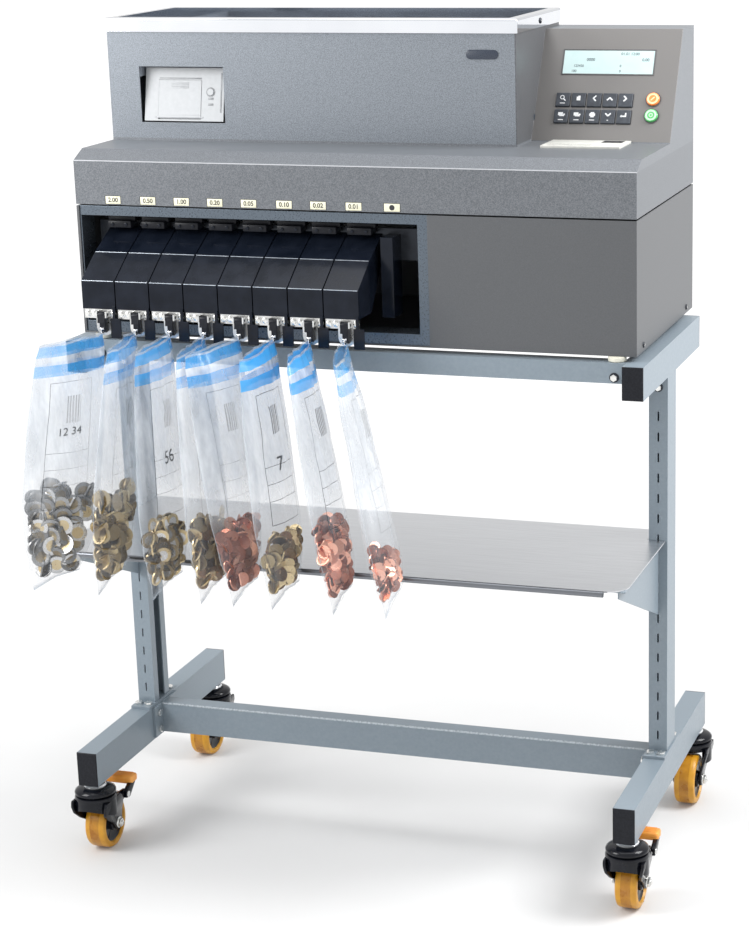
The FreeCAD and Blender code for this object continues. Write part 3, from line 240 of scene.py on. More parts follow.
key_grey = make_finish("key_grey", (0.028, 0.034, 0.045), (0.055, 0.064, 0.08), 180, 0.45, 0.2, 900)
icon_white = make_finish("icon_white", (0.74, 0.76, 0.78), (0.86, 0.87, 0.88), 300, 0.5, 0.05, 900)
stop_orange = make_finish("stop_orange", (0.84, 0.2, 0.035), (0.93, 0.28, 0.06), 120, 0.28, 0.08, 600, coat=0.3)
start_green = make_finish("start_green", (0.06, 0.36, 0.1), (0.11, 0.46, 0.15), 120, 0.28, 0.08, 600, coat=0.3)
screen_tint = make_finish("screen_tint", (0.5, 0.66, 0.66), (0.6, 0.76, 0.75), 18, 0.18, 0.02, 300)
screen_ink = make_finish("screen_ink", (0.08, 0.12, 0.14), (0.14, 0.18, 0.2), 300, 0.5, 0.05, 900)
label_cream = make_finish("label_cream", (0.7, 0.68, 0.5), (0.8, 0.78, 0.62), 160, 0.5, 0.08, 700)
# Black print and outlines, also used as painted shade under the back louvres.
black_ink_and_shade = make_finish("black_ink_and_shade", (0.015, 0.015, 0.016), (0.03, 0.03, 0.032), 300, 0.6, 0.05, 900)
board_green = make_finish("board_green", (0.012, 0.1, 0.045), (0.02, 0.16, 0.07), 90, 0.4, 0.2, 600)
turned_metal = make_finish("turned_metal", (0.58, 0.58, 0.6), (0.72, 0.72, 0.74), 120, 0.28, 0.15, 500, metallic=1)
belt_rubber = make_finish("belt_rubber", (0.01, 0.01, 0.01), (0.022, 0.022, 0.022), 200, 0.7, 0.3, 900)
silver_coin = make_finish("silver_coin", (0.2, 0.2, 0.2), (0.62, 0.62, 0.62), 300, 0.3, 0.35, 700, metallic=1)
brass_coin = make_finish("brass_coin", (0.18, 0.135, 0.07), (0.6, 0.48, 0.275), 300, 0.32, 0.35, 700, metallic=1)
copper_coin = make_finish("copper_coin", (0.28, 0.105, 0.07), (0.84, 0.43, 0.31), 300, 0.32, 0.35, 700, metallic=1)
print("finishes", len(bpy.data.materials))


# %% [markdown]
# The cover is one folded sheet with two looks: a fine metallic speckle, and the smooth warm grey of
# the sloping console face. Light and shade are painted on it too: painted light on the hopper's walls,
# painted shade on its right side and on the band over the outlets, and a painted highlight on the fold
# between deck and band. Object coordinates pick those places out: a plane for the slope, levels for
# the walls and a narrow band for the fold.


# %% Cover finish
CONSOLE_NORMAL = (0, -0.87616, 0.48203)
CONSOLE_PLANE = 0.39104
CONSOLE_LEFT = 0.1988
DECK_LEVEL = 1.0002
FOLD_LEVEL = 0.986
MARGIN = 0.002
SHELF_HEM = -113.4


def calculate(tree, operation, *values):
    node = tree.nodes.new("ShaderNodeMath")
    node.operation = operation
    for socket, value in zip(node.inputs, values):
        if isinstance(value, (int, float)):
            socket.default_value = value
        else:
            tree.links.new(value, socket)
    return node.outputs[0]


def chain(tree, operation, first, *others):
    # The same step for several values, one after the other.
    for other in others:
        first = calculate(tree, operation, first, other)
    return first


def times(tree, *values):
    return chain(tree, "MULTIPLY", *values)


def band(tree, source, middle, half):
    # One where the source is within half of the middle, nothing elsewhere.
    return calculate(tree, "COMPARE", source, middle, half)


def mix_colour(tree, factor, under, over, blend="MIX"):
    node = tree.nodes.new("ShaderNodeMix")
    node.data_type = "RGBA"
    node.blend_type = blend
    tree.links.new(factor, node.inputs["Factor"])
    tree.links.new(under, node.inputs[6])
    node.inputs[7].default_value = (*over, 1)
    return node.outputs[2]


def object_axes(tree):
    where = tree.nodes.new("ShaderNodeTexCoord").outputs["Object"]
    axes = tree.nodes.new("ShaderNodeSeparateXYZ")
    tree.links.new(where, axes.inputs[0])
    return where, *axes.outputs


def make_cover_coat():
    material, tree, shader = node_tree("speckled_coat")
    where, x, y, z = object_axes(tree)
    lean = tree.nodes.new("ShaderNodeVectorMath")
    lean.operation = "DOT_PRODUCT"
    tree.links.new(where, lean.inputs[0])
    lean.inputs[1].default_value = CONSOLE_NORMAL
    slope = times(tree, band(tree, lean.outputs["Value"], CONSOLE_PLANE, 0.0012),
                  calculate(tree, "GREATER_THAN", x, CONSOLE_LEFT),
                  calculate(tree, "GREATER_THAN", z, DECK_LEVEL))
    above = calculate(tree, "GREATER_THAN", z, DECK_LEVEL + MARGIN)
    hopper_painted_light = times(tree, above, calculate(tree, "LESS_THAN", x, CONSOLE_LEFT - MARGIN))
    cheek_painted_shade = times(tree, above, band(tree, x, CONSOLE_LEFT, MARGIN))
    band_painted_shade = calculate(tree, "LESS_THAN", z, FOLD_LEVEL)
    fold = times(tree, band(tree, z, FOLD_LEVEL, 0.0006),
                     band(tree, y, -mm(ORIGIN_DEPTH), 0.003))
    speckle = add_noise(tree, 820, detail=2, rough=0.6)
    colour = add_ramp(tree, speckle, (0.34, (0.112, 0.122, 0.135)), (0.66, (0.214, 0.227, 0.247)))
    # Painted light on the hopper walls, painted shade on its right side and on the band below the fold.
    for mask, tint in ((hopper_painted_light, (1.22, 1.26, 1.29)), (cheek_painted_shade, (0.66, 0.64, 0.63)), (band_painted_shade, (0.86, 0.86, 0.86))):
        colour = mix_colour(tree, mask, colour, tint, "MULTIPLY")
    # The console slope gets its own warm grey; the fold gets a painted highlight, a light grey band.
    for mask, tint in ((slope, (0.19, 0.184, 0.18)), (fold, (0.4, 0.41, 0.43))):
        colour = mix_colour(tree, mask, colour, tint)
    tree.links.new(colour, shader.inputs["Base Color"])
    tree.links.new(add_range(tree, speckle, 0.32, 0.44), shader.inputs["Roughness"])
    add_relief(tree, shader, speckle, 0.12, 0.0003)
    set_sockets(shader, Metallic=0.3)
    return material


def painted_hem_shade(material, edge, colour):
    # Painted shade: the rolled front hem of the shelf is coloured darker than the brushed sheet behind it.
    tree = material.node_tree
    base = tree.nodes["Principled BSDF"].inputs["Base Color"]
    front = calculate(tree, "LESS_THAN", object_axes(tree)[2], edge)
    tree.links.new(mix_colour(tree, front, base.links[0].from_socket, colour), base)


casing_coat = make_cover_coat()
# Painted shade on the shelf's front hem.
painted_hem_shade(shelf_steel, mm(SHELF_HEM - ORIGIN_DEPTH), (0.2, 0.21, 0.23))
print("cover finish", casing_coat.name)


# %% [markdown]
# The solids of the sheet-metal pieces have the right shape, so they stay and get a finish.
# Real folded sheet and drawn tube have small edge radii that catch the light: merging the loose
# triangles and bevelling only the sharp edges gives that line of light.


# %% Dress the solids that stay
WELD_GAP = 0.00002
FLAT_WITHIN = 0.8
SHARP_FROM = 40


def dress(name, material, edge):
    node = nodes[name]
    node.data.materials.clear()
    node.data.materials.append(material)
    if edge:
        weld = node.modifiers.new("join", "WELD")
        weld.merge_threshold = WELD_GAP
        flat = node.modifiers.new("flat", "DECIMATE")
        flat.decimate_type = "DISSOLVE"
        flat.angle_limit = math.radians(FLAT_WITHIN)
        round_edge = node.modifiers.new("edge", "BEVEL")
        round_edge.width = mm(edge)
        round_edge.segments = 2
        round_edge.limit_method = "ANGLE"
        round_edge.angle_limit = math.radians(SHARP_FROM)
        round_edge.use_clamp_overlap = True


DRESSING = [
    ("upper_casing", casing_coat, 0.8), ("lower_casing", panel_coat, 0.6), ("rear_panel", panel_coat, 0.4),
    ("base_rails", stand_coat, 2), ("base_crossbar", stand_coat, 1.2), ("posts", stand_coat, 0.6),
    ("top_frame", stand_coat, 1.5), ("shelf_brackets", stand_coat, 0.4), ("shelf", shelf_steel, 0.3),
    # The sorting rail's dark steel is painted shade for the unlit inside behind the window.
    ("outlet_frame", liner_steel, 0.4), ("bag_plates", plate_steel, 0.3), ("sorting_rail", dark_steel_and_shade, 0.3),
    ("frame_bolts", zinc, 0.5), ("hopper_tray", tray_steel, 0.4), ("hopper_rim", chrome, 0),
    ("coin_chutes", chute_gloss, 0.7), ("end_caps", black_moulding, 0.4), ("power_inlet", black_moulding, 0.4),
    ("machine_feet", foot_rubber, 0.5), ("display_window", screen_tint, 0.3),
    ("control_board", board_green, 0), ("printer_body", printer_white, 0.8), ("printer_door", printer_white, 0.5),
    ("printer_feed_button", printer_white, 0), ("feed_disc", turned_metal, 0.4), ("motor_pulley", turned_metal, 0.4),
    ("feed_motor", castor_gloss, 0.6), ("drive_belt", belt_rubber, 0), ("stop_button", stop_orange, 0),
    ("start_button", start_green, 0),
]
for name, material, edge in DRESSING:
    dress(name, material, edge)
for name in nodes:
    if name.startswith("key_"):
        dress(name, key_grey, 0.5)
    if name.startswith("bag_clip_"):
        dress(name, black_moulding, 0.5)
print("dressed solids", len(DRESSING))

# %% [markdown]
# Each outlet fills a bag of clear film. The film is held at its rear corner by the clip and hangs
# as a flat pouch that twists, sags forward past the shelf and bulges where the coins lie.
# A tube of quads is the natural start: every ring is then pulled into a lens with two welded
# seams. Attributes carry the distance below the mouth, the place across, the side, the seams and
# the strength of the print, so the print follows the surface instead of sliding over it.

# %% Film and print on the bags
BAG_HANG = ((33, 55, -64), (-3, 10, -18), (3, 15, 12), (-2, 10, 31),
            (23, 10, 27), (5, 14, 32), (-5, 4, 67), (-14, 0, 89))
BAG_ROWS = ((0, 48, 7), (0.07, 52, 10), (0.35, 55, 14), (0.66, 53, 17),
            (0.84, 46, 19), (0.93, 38, 16), (0.975, 33, 8), (1, 31, 0.8))
OUTLETS = 8
FIRST_LEVER = -329.25
OUTLET_PITCH = 49.5
CLIP_OFFSET = 4
CLIP_Y, MOUTH_Z = -58.5, 762
FOOT_Y, FOOT_Z = -190, 452
MOUTH_LIFT = 5
CORNER_DROP = 16
CORNER_RISE = 6
FILM_SIDES, FILM_CUTS = 48, 63
FILM_LAYERS = ("down", "across", "side", "seam", "print")
STRIPES = ((0.0105, 0.0075), (0.038, 0.008))
PRINT_LINES = ((0.055, 0.0005), (0.225, 0.0005), (0.15, 0.0004), (0.172, 0.0004), (0.194, 0.0004))
PRINT_HALF = 0.03
PRINT_LONG = 322
PRINT_STRENGTH = (0.42, 0.4, 0.55, 0.45, 0.4, 0.85, 0.8, 0.3)


def attribute(tree, name):
    node = tree.nodes.new("ShaderNodeAttribute")
    node.attribute_name = name
    return node.outputs["Fac"]


def draw_print(tree, down, across, side):
    # A frame with ruled lines and a block of bars, on one side of the film.
    upright = chain(tree, "ADD", band(tree, across, PRINT_HALF, 0.0005), band(tree, across, -PRINT_HALF, 0.0005))
    upright = times(tree, upright, band(tree, down, 0.14, 0.085))
    level = chain(tree, "ADD", *(band(tree, down, *line) for line in PRINT_LINES))
    level = times(tree, level, band(tree, across, 0, PRINT_HALF))
    bars = calculate(tree, "FRACT", times(tree, across, 260))
    bars = times(tree, calculate(tree, "GREATER_THAN", bars, 0.45),
                 band(tree, across, 0.004, 0.01), band(tree, down, 0.092, 0.018))
    ink = calculate(tree, "MINIMUM", chain(tree, "ADD", upright, level, bars), 1)
    return times(tree, ink, calculate(tree, "GREATER_THAN", side, 0.05))


def make_film():
    # Milky film with folds, two blue bands below the mouth, and a printed form on one side.
    material, tree, shader = node_tree("bag_film")
    down, across, side, seam, strength = (attribute(tree, name) for name in FILM_LAYERS)
    folds = add_noise(tree, 46, detail=4, stretch=(1, 1, 0.22))
    bands = chain(tree, "ADD", *(band(tree, down, *stripe) for stripe in STRIPES))
    ink = draw_print(tree, down, across, side)
    colour = add_ramp(tree, folds, (0.3, (0.46, 0.51, 0.57)), (0.7, (0.8, 0.83, 0.87)))
    colour = mix_colour(tree, bands, colour, (0.06, 0.36, 0.74))
    colour = mix_colour(tree, ink, colour, (0.07, 0.08, 0.09))
    colour = mix_colour(tree, times(tree, seam, 0.7), colour, (0.36, 0.42, 0.48))
    tree.links.new(colour, shader.inputs["Base Color"])
    clear = add_range(tree, down, 1, 0.3, 0.165, 0.235)
    milk = times(tree, add_range(tree, folds, 0.3, 0.62), clear)
    cover = chain(tree, "MAXIMUM", milk, times(tree, bands, strength),
                  times(tree, ink, strength), times(tree, seam, 0.62))
    tree.links.new(cover, shader.inputs["Alpha"])
    relief = add_noise(tree, 90, detail=4, stretch=(1, 1, 0.3))
    add_relief(tree, shader, relief, 0.35, 0.003)
    set_sockets(shader, Roughness=0.2, Specular_IOR_Level=0.6)
    return material


bag_film = make_film()
print("film", bag_film.name, "stripes", len(STRIPES))

# %% [markdown]
# The shape of a bag is one rule: a share of the way down and an angle round the pouch give a point on
# the film. Coins and printed numbers ask the same rule for their place, so all of them fit together.
# The corner that hangs forward is drawn down to a point, as film with coins in it does.


# %% Shape of one bag
def bag_size(share):
    # Half width and half thickness between the rows, eased so that no row shows as a crease.
    for low, high in zip(BAG_ROWS, BAG_ROWS[1:]):
        if share <= high[0]:
            part = (share - low[0]) / (high[0] - low[0])
            part = part * part * (3 - 2 * part)
            return low[1] + (high[1] - low[1]) * part, low[2] + (high[2] - low[2]) * part
    return BAG_ROWS[-1][1:]


def width_way(turn):
    return Vector((math.sin(math.radians(turn)), math.cos(math.radians(turn)), 0))


def bag_axis(number, share):
    # Centre of a ring, the way across the film and the way out of it, in millimetres.
    mouth_turn, foot_turn, sway = BAG_HANG[number]
    lever = FIRST_LEVER + OUTLET_PITCH * number
    mouth = Vector((lever - CLIP_OFFSET, CLIP_Y, MOUTH_Z)) - width_way(mouth_turn) * BAG_ROWS[0][1]
    foot = Vector((lever + sway, FOOT_Y, FOOT_Z)) + width_way(foot_turn) * BAG_ROWS[-1][1]
    across = width_way(mouth_turn + (foot_turn - mouth_turn) * share)
    out = Vector((across.y, -across.x, 0))
    return mouth.lerp(foot, share), across, out


def film_point(number, share, angle, puff=1):
    centre, across, out = bag_axis(number, share)
    half_wide, half_thick = bag_size(share)
    flat = math.cos(angle)
    round_part = math.sin(angle) * abs(math.sin(angle)) ** 0.5
    place = Vector((flat * 2.2 + number * 7.3, share * 3.4, math.copysign(1, round_part) * 3))
    fold = noise.noise(place * 1.6) * 4.2 * abs(round_part) * (1.15 - share)
    crease = noise.noise(Vector((flat * 5, share * 16, number * 3.1))) * 1.5 * abs(round_part)
    thick = half_thick * round_part * puff + (fold + crease) * puff
    ripple = flat + noise.noise(Vector((flat * 1.7, number * 2.9, 0.4)))
    lift = MOUTH_LIFT * (1 - min(share / 0.12, 1)) * ripple
    corner = max(0, (share - 0.9) / 0.1) ** 1.5 * flat * (CORNER_DROP if flat < 0 else CORNER_RISE)
    return centre + across * (half_wide * flat) + out * thick + Vector((0, 0, lift + corner))


def add_film(number):
    bm = bmesh.new()
    bmesh.ops.create_cone(bm, cap_ends=False, segments=FILM_SIDES, radius1=1, radius2=1, depth=1)
    upright = [e for e in bm.edges if abs(e.verts[0].co.z - e.verts[1].co.z) > 0.5]
    bmesh.ops.subdivide_edges(bm, edges=upright, cuts=FILM_CUTS, use_grid_fill=True)
    layers = [bm.verts.layers.float.new(name) for name in FILM_LAYERS]
    for vert in bm.verts:
        share = 0.5 - vert.co.z
        angle = math.atan2(vert.co.y, vert.co.x)
        seam = abs(math.sin(angle)) < 0.07 or not 0.01 < share < 0.985
        values = (share * mm(PRINT_LONG), math.cos(angle) * mm(bag_size(share)[0]), math.sin(angle),
                  float(seam), PRINT_STRENGTH[number])
        for layer, value in zip(layers, values):
            vert[layer] = value
        vert.co = film_point(number, share, angle)
    bmesh.ops.recalc_face_normals(bm, faces=bm.faces)
    finish_piece(bm, "bag_film_%d" % (number + 1), [bag_film], "base", ("coin_bags",), sharp=80)


# %% [markdown]
# The coins lie tumbled behind the film at the bottom of the bag. One coin is a short cylinder with a
# raised rim made by two insets, so it stays light enough to repeat by the hundred. Seeded draws keep
# the heap the same on every run, and each coin gets its own tone, so that neighbours stand apart.

# %% Coins in the bags
COIN_KINDS = (
    (25.75, 2.2, silver_coin, brass_coin), (24.25, 2.4, brass_coin, brass_coin),
    (23.25, 2.3, brass_coin, silver_coin), (22.25, 2.1, brass_coin, brass_coin),
    (21.25, 1.7, copper_coin, copper_coin), (19.75, 1.9, brass_coin, brass_coin),
    (18.75, 1.7, copper_coin, copper_coin), (16.25, 1.7, copper_coin, copper_coin),
)
COIN_SEED = 40
BAG_DROP = MOUTH_Z - FOOT_Z
HEAP_FOOT = 0.948
HEAP_TOP = (0.6, 0.62, 0.72, 0.7, 0.72, 0.76, 0.68, 0.78)


def tone_by_coin(material):
    # Every coin carries its own number from 0 to 1, and that number picks its tone.
    tree = material.node_tree
    ramp = next(n for n in tree.nodes if n.type == "VALTORGB")
    tree.links.new(attribute(tree, "tone"), ramp.inputs["Fac"])


for coin_finish in (silver_coin, brass_coin, copper_coin):
    tone_by_coin(coin_finish)


def coin_mesh(size, thick):
    bm = bmesh.new()
    bm.verts.layers.float.new("tone")
    bmesh.ops.create_cone(bm, cap_ends=True, segments=16, radius1=size / 2, radius2=size / 2, depth=thick)
    caps = [f for f in bm.faces if len(f.verts) > 4]
    bmesh.ops.inset_region(bm, faces=caps, thickness=size * 0.09, depth=0, use_even_offset=True)
    bmesh.ops.inset_region(bm, faces=caps, thickness=size * 0.1, depth=-thick * 0.12, use_even_offset=True)
    for face in caps:
        face.material_index = 1
    mesh = bpy.data.meshes.new("coin")
    bm.to_mesh(mesh)
    bm.free()
    return mesh


def lay_coin(bm, coin, matrix, shade):
    start = len(bm.verts)
    bm.from_mesh(coin)
    bm.verts.ensure_lookup_table()
    fresh = bm.verts[start:]
    bmesh.ops.transform(bm, matrix=matrix, verts=fresh)
    tone = bm.verts.layers.float["tone"]
    for vert in fresh:
        vert[tone] = shade


def tumble(draw, number, share, flat, side):
    # Where one coin lies behind the film and how it is tilted, looser where the bag is thick.
    size, thick = COIN_KINDS[number][:2]
    angle = math.acos(max(-1, min(1, flat))) * side
    out = bag_axis(number, share)[2] * side
    room = bag_size(share)[1] * abs(math.sin(angle)) ** 1.5
    loose = min(0.95, 0.34 + room / size)
    skin = film_point(number, share, angle, max(0, 1 - size * 0.45 * loose / max(room, 1)))
    inward = -out * (thick * 0.6 + draw.uniform(0.2, 1.6))
    toward = Vector((0.25, -0.9, 0.15)) * draw.uniform(0, 1.3) * loose
    tilt = Vector((draw.gauss(0, 1), draw.gauss(0, 1), draw.gauss(0, 1))) * 0.55 * loose
    return Matrix.Translation(skin + inward) @ turn_to(out + toward + tilt)


def add_coins(number):
    size, thick, ring, core = COIN_KINDS[number]
    draw = random.Random(COIN_SEED + number)
    coin = coin_mesh(size, thick)
    bm = bmesh.new()
    count = 0
    top = HEAP_TOP[number]
    share = HEAP_FOOT
    while share > top:
        half_wide = bag_size(share)[0]
        reach = 1 - 0.58 * size / half_wide
        for side in (1, -1):
            flat = -reach + draw.uniform(0, 0.1)
            while flat < reach:
                slope = 0.1 * noise.noise(Vector((flat * 1.5, number * 1.7, 0)))
                if share > top + slope + 0.05 * abs(flat):
                    matrix = tumble(draw, number, share, flat, side)
                    lay_coin(bm, coin, matrix, draw.random())
                    count += 1
                flat += size * 0.66 / half_wide * draw.uniform(0.85, 1.15)
        share -= size * 0.52 / BAG_DROP * draw.uniform(0.9, 1.1)
    bpy.data.meshes.remove(coin)
    finish_piece(bm, "bag_coins_%d" % (number + 1), [ring, core], "base")
    return count


coin_count = 0
for number in range(OUTLETS):
    add_film(number)
    coin_count += add_coins(number)
print("bags", OUTLETS, "coins", coin_count)


# %% [markdown]
# Some bags carry a printed number. Digits are drawn flat as a text curve and each point is then laid
# on the film by the same function that shaped it, so the number bends with the bag.

# %% Numbers printed on the film
BAG_NUMBERS = ((0, "12 34", 15, 122), (2, "56", 24, 150), (5, "7", 26, 150))
INK_LIFT = 0.6
film_ink = make_finish("film_ink", (0.05, 0.055, 0.06), (0.09, 0.095, 0.1), 400, 0.5, 0.05, 900)


def flat_words(words, size, bold=0, thick=0):
    # A text curve made into a flat mesh, in millimetres.
    curve = bpy.data.curves.new("digits", "FONT")
    curve.body = words
    curve.size = size
    curve.offset = bold
    curve.extrude = thick
    curve.align_x = curve.align_y = "CENTER"
    source = bpy.data.objects.new("digits", curve)
    mesh = bpy.data.meshes.new_from_object(source)
    bpy.data.objects.remove(source)
    bpy.data.curves.remove(curve)
    bm = bmesh.new()
    bm.from_mesh(mesh)
    bpy.data.meshes.remove(mesh)
    return bm


for number, words, size, level in BAG_NUMBERS:
    bm = flat_words(words, size)
    bmesh.ops.subdivide_edges(bm, edges=bm.edges, cuts=1)
    bmesh.ops.triangulate(bm, faces=bm.faces)
    for vert in bm.verts:
        share = (level - vert.co.y) / PRINT_LONG
        angle = math.acos(max(-1, min(1, vert.co.x / bag_size(share)[0])))
        vert.co = film_point(number, share, angle) + bag_axis(number, share)[2] * INK_LIFT
    finish_piece(bm, "bag_number_%d" % (number + 1), [film_ink], "base", sharp=180)
print("printed numbers", len(BAG_NUMBERS))

# %% [markdown]
# Castors: a pressed black hood turns under a ball race and carries a wheel with an amber tread.
# A short skirt closes the hood round the race. Its legs start wide and draw in to the axle, so each
# leg is a flat outline, extruded, cut into bands with bisect_plane and then bent in by height. Wheel
# and ring are turned parts, and a turned part is one profile spun about its axis.

# %% Castor forks
STEM_X = 391
STEM_FRONT = -62
STEM_REAR = 350
TRAIL = 24
AXLE_Z = 37.5
RING = ((7, 91.4), (26, 91.4), (29, 90), (30, 87), (29.4, 83.6), (28, 82.4), (28.8, 80.8), (28, 78.6),
        (25, 77.4), (7, 77.4))
SKIRT_R = 29.4
SKIRT_TOP = 84
SKIRT_FRONT = 73
SKIRT_LOW = 60
LEG = ((-22, 84), (-25, 76), (-23, 66), (-12, 55), (6, 44), (14, 34), (19, 29), (26, 28),
       (33, 31), (36, 39), (36, 52), (34, 66), (27, 80), (22, 84))
LEG_CUTS = (46, 54, 62, 69, 75, 80)
LEG_SPREAD = 7
LEG_INNER = 17.3
BEND_FROM, BEND_OVER = 44, 38
EAR = ((20, 82), (30, 60), (50, 66.5), (53, 73), (50, 79))
AXLE_ENDS = ((21, 22.6, 8.2, 24, 0.3), (22.4, 26.4, 6.6, 6, 0.5), (26, 28.4, 3.6, 16, 0.6))


def add_turned(bm, profile, axis=(0, 0, 1), centre=(0, 0, 0), steps=48, index=0):
    # Spins a closed profile of (radius, height) pairs about an axis through centre.
    along = Vector(axis)
    verts = [bm.verts.new(Vector(centre) + Vector((0, r, 0)) + along * h) for r, h in profile]
    edges = [bm.edges.new((a, b)) for a, b in zip(verts, verts[1:] + verts[:1])]
    before = set(bm.faces)
    bmesh.ops.spin(bm, geom=verts + edges, cent=Vector(centre), axis=along, dvec=(0, 0, 0), angle=2 * math.pi,
                   steps=steps, use_merge=True, use_duplicate=False)
    faces = [f for f in bm.faces if f not in before]
    for face in faces:
        face.material_index = index
    bmesh.ops.recalc_face_normals(bm, faces=faces)
    return faces


def add_slab(bm, points, x0, x1, edge, index=0):
    # A flat outline in Y and Z, extruded along X, with its long edges rounded.
    verts = [bm.verts.new((x0, y, z)) for y, z in points]
    face = bm.faces.new(verts)
    made = bmesh.ops.extrude_face_region(bm, geom=[face])
    moved = [v for v in made["geom"] if isinstance(v, bmesh.types.BMVert)]
    bmesh.ops.translate(bm, vec=(x1 - x0, 0, 0), verts=moved)
    verts = verts + moved
    faces = list({f for v in verts for f in v.link_faces})
    bmesh.ops.recalc_face_normals(bm, faces=faces)
    rims = {e for f in faces if len(f.verts) == len(points) for e in f.edges}
    made = bevel(bm, rims, edge)
    faces = list({f for v in made["verts"] for f in v.link_faces})
    for item in faces:
        item.material_index = index
    return faces


def add_skirt(bm, lean):
    # A short shell round the race, lower at the legs, open behind where the wheel comes up.
    made = bmesh.ops.create_cone(bm, cap_ends=False, segments=56, radius1=SKIRT_R, radius2=SKIRT_R, depth=1)
    verts = made["verts"]
    for vert in verts:
        front = max(0, -vert.co.y * lean / SKIRT_R)
        low = SKIRT_LOW + (SKIRT_FRONT - SKIRT_LOW) * front ** 1.3
        vert.co.z = SKIRT_TOP if vert.co.z > 0 else low
    gap = [f for f in {f for v in verts for f in v.link_faces}
           if f.calc_center_median().y * lean > 6 and abs(f.calc_center_median().x) < 21]
    bmesh.ops.delete(bm, geom=gap, context="FACES")
    faces = list({f for v in verts if v.is_valid for f in v.link_faces})
    bmesh.ops.recalc_face_normals(bm, faces=faces)
    bmesh.ops.solidify(bm, geom=faces, thickness=2.2)


def add_fork(name, x, y, lean, pedal):
    bm = bmesh.new()
    add_turned(bm, RING)
    add_skirt(bm, lean)
    axle_y = lean * TRAIL
    for side in (-1, 1):
        points = [(lean * a, z) for a, z in LEG]
        faces = add_slab(bm, points, side * LEG_INNER, side * 21.3, 0.8)
        for height in LEG_CUTS:
            geom = list({g for f in faces if f.is_valid for g in [f, *f.edges, *f.verts]})
            cut = bmesh.ops.bisect_plane(bm, geom=geom, plane_co=(0, 0, height), plane_no=(0, 0, 1))
            faces = [g for g in cut["geom"] if isinstance(g, bmesh.types.BMFace)]
        for vert in {v for f in faces for v in f.verts}:
            rise = max(0, min(1, (vert.co.z - BEND_FROM) / BEND_OVER))
            vert.co.x += side * LEG_SPREAD * rise * rise * (3 - 2 * rise)
        if pedal:
            add_slab(bm, [(lean * a, z) for a, z in EAR], side * LEG_INNER, side * 20.9, 0.6)
        for near, far, radius, sides, edge in AXLE_ENDS:
            add_rod(bm, (side * near, axle_y, AXLE_Z), (side * far, axle_y, AXLE_Z), radius, sides, edge, index=1)
    add_rod(bm, (-21.5, axle_y, AXLE_Z), (21.5, axle_y, AXLE_Z), 3.9, 16, index=1)
    body = "castor_fork_" + name
    finish_piece(bm, "fork_hood_" + name, [castor_gloss, zinc], body, (body,),
                 place=Matrix.Translation((x, y, 0)))


# %% [markdown]
# A wheel is an amber tread, darker where it runs, on a black core with spokes. The front castors have
# an orange foot pedal on two black arms, which swing on a pin through the ears of the hood.

# %% Castor wheels and brake pedals
TREAD = ((27.5, -11.5), (29.5, -15.3), (33, -15.5), (35.6, -14.2), (37, -11.5), (37.4, -7), (37.5, 0), (37.4, 7),
         (37, 11.5), (35.6, 14.2), (33, 15.5), (29.5, 15.3), (27.5, 11.5), (26, 0))
CORE = ((4.3, -16.4), (10.5, -16.4), (12, -15), (12.6, -11.5), (25, -11), (27.8, -12.6), (27.8, 12.6), (25, 11),
        (12.6, 11.5), (12, 15), (10.5, 16.4), (4.3, 16.4))
SPOKES = 5


def add_wheel(name, x, y):
    bm = bmesh.new()
    faces = add_turned(bm, TREAD, (1, 0, 0), steps=64)
    for face in faces:
        middle = face.calc_center_median()
        if math.hypot(middle.y, middle.z) > 36.8 and abs(middle.x) < 8:
            face.material_index = 1
    add_turned(bm, CORE, (1, 0, 0), index=2)
    for side in (-1, 1):
        for spoke in range(SPOKES):
            turn = Matrix.Rotation(2 * math.pi * spoke / SPOKES, 4, "X")
            add_block(bm, (side * 10 - 1.6, -2, 12), (side * 10 + 1.6, 2, 26.4), 0.5, turn, index=2)
    body = "castor_wheel_" + name
    finish_piece(bm, "tread_wheel_" + name, [amber_tread, brown_tread, castor_gloss], body,
                 (body,), place=Matrix.Translation((x, y, AXLE_Z)))


PEDAL_PIN = (46, 73)
PEDAL_ARM = ((-5, -4.5), (5, -6), (25, 11), (11, 13), (-5, 5))


def add_pedal(name, x, y):
    bm = bmesh.new()
    pin_y, pin_z = PEDAL_PIN
    add_block(bm, (-29, pin_y + 10.5, pin_z + 9.5), (29, pin_y + 31.5, pin_z + 21.5), 3.6, segments=3)
    for rib in range(5):
        rib_y = pin_y + 14 + rib * 3.6
        add_block(bm, (-24, rib_y - 0.7, pin_z + 21), (24, rib_y + 0.7, pin_z + 22), 0.3)
    arm = [(pin_y + y, pin_z + z) for y, z in PEDAL_ARM]
    for side in (-1, 1):
        add_slab(bm, arm, side * 21.8, side * 28.6, 1.2, index=1)
        add_rod(bm, (side * 28, pin_y, pin_z), (side * 29, pin_y, pin_z), 4.4, 20, 0.3, index=2)
    add_rod(bm, (-28.5, pin_y, pin_z), (28.5, pin_y, pin_z), 2.9, 16, index=2)
    body = "brake_pedal_" + name
    finish_piece(bm, "foot_pedal_" + name, [pedal_orange, castor_gloss, zinc], body, (body,),
                 place=Matrix.Translation((x, y, 0)))


for end, stem_y, lean in (("front", STEM_FRONT, 1), ("rear", STEM_REAR, -1)):
    for hand, side in (("left", -1), ("right", 1)):
        add_fork(end + "_" + hand, side * STEM_X, stem_y, lean, end == "front")
        add_wheel(end + "_" + hand, side * STEM_X, stem_y + lean * TRAIL)
        if end == "front":
            add_pedal(hand, side * STEM_X, stem_y)

# %% [markdown]
# The stems stay fixed to the stand: a domed race cover, a bright collar and the shank with its nut
# inside the rail. All of it is round, so one spun profile makes each piece.

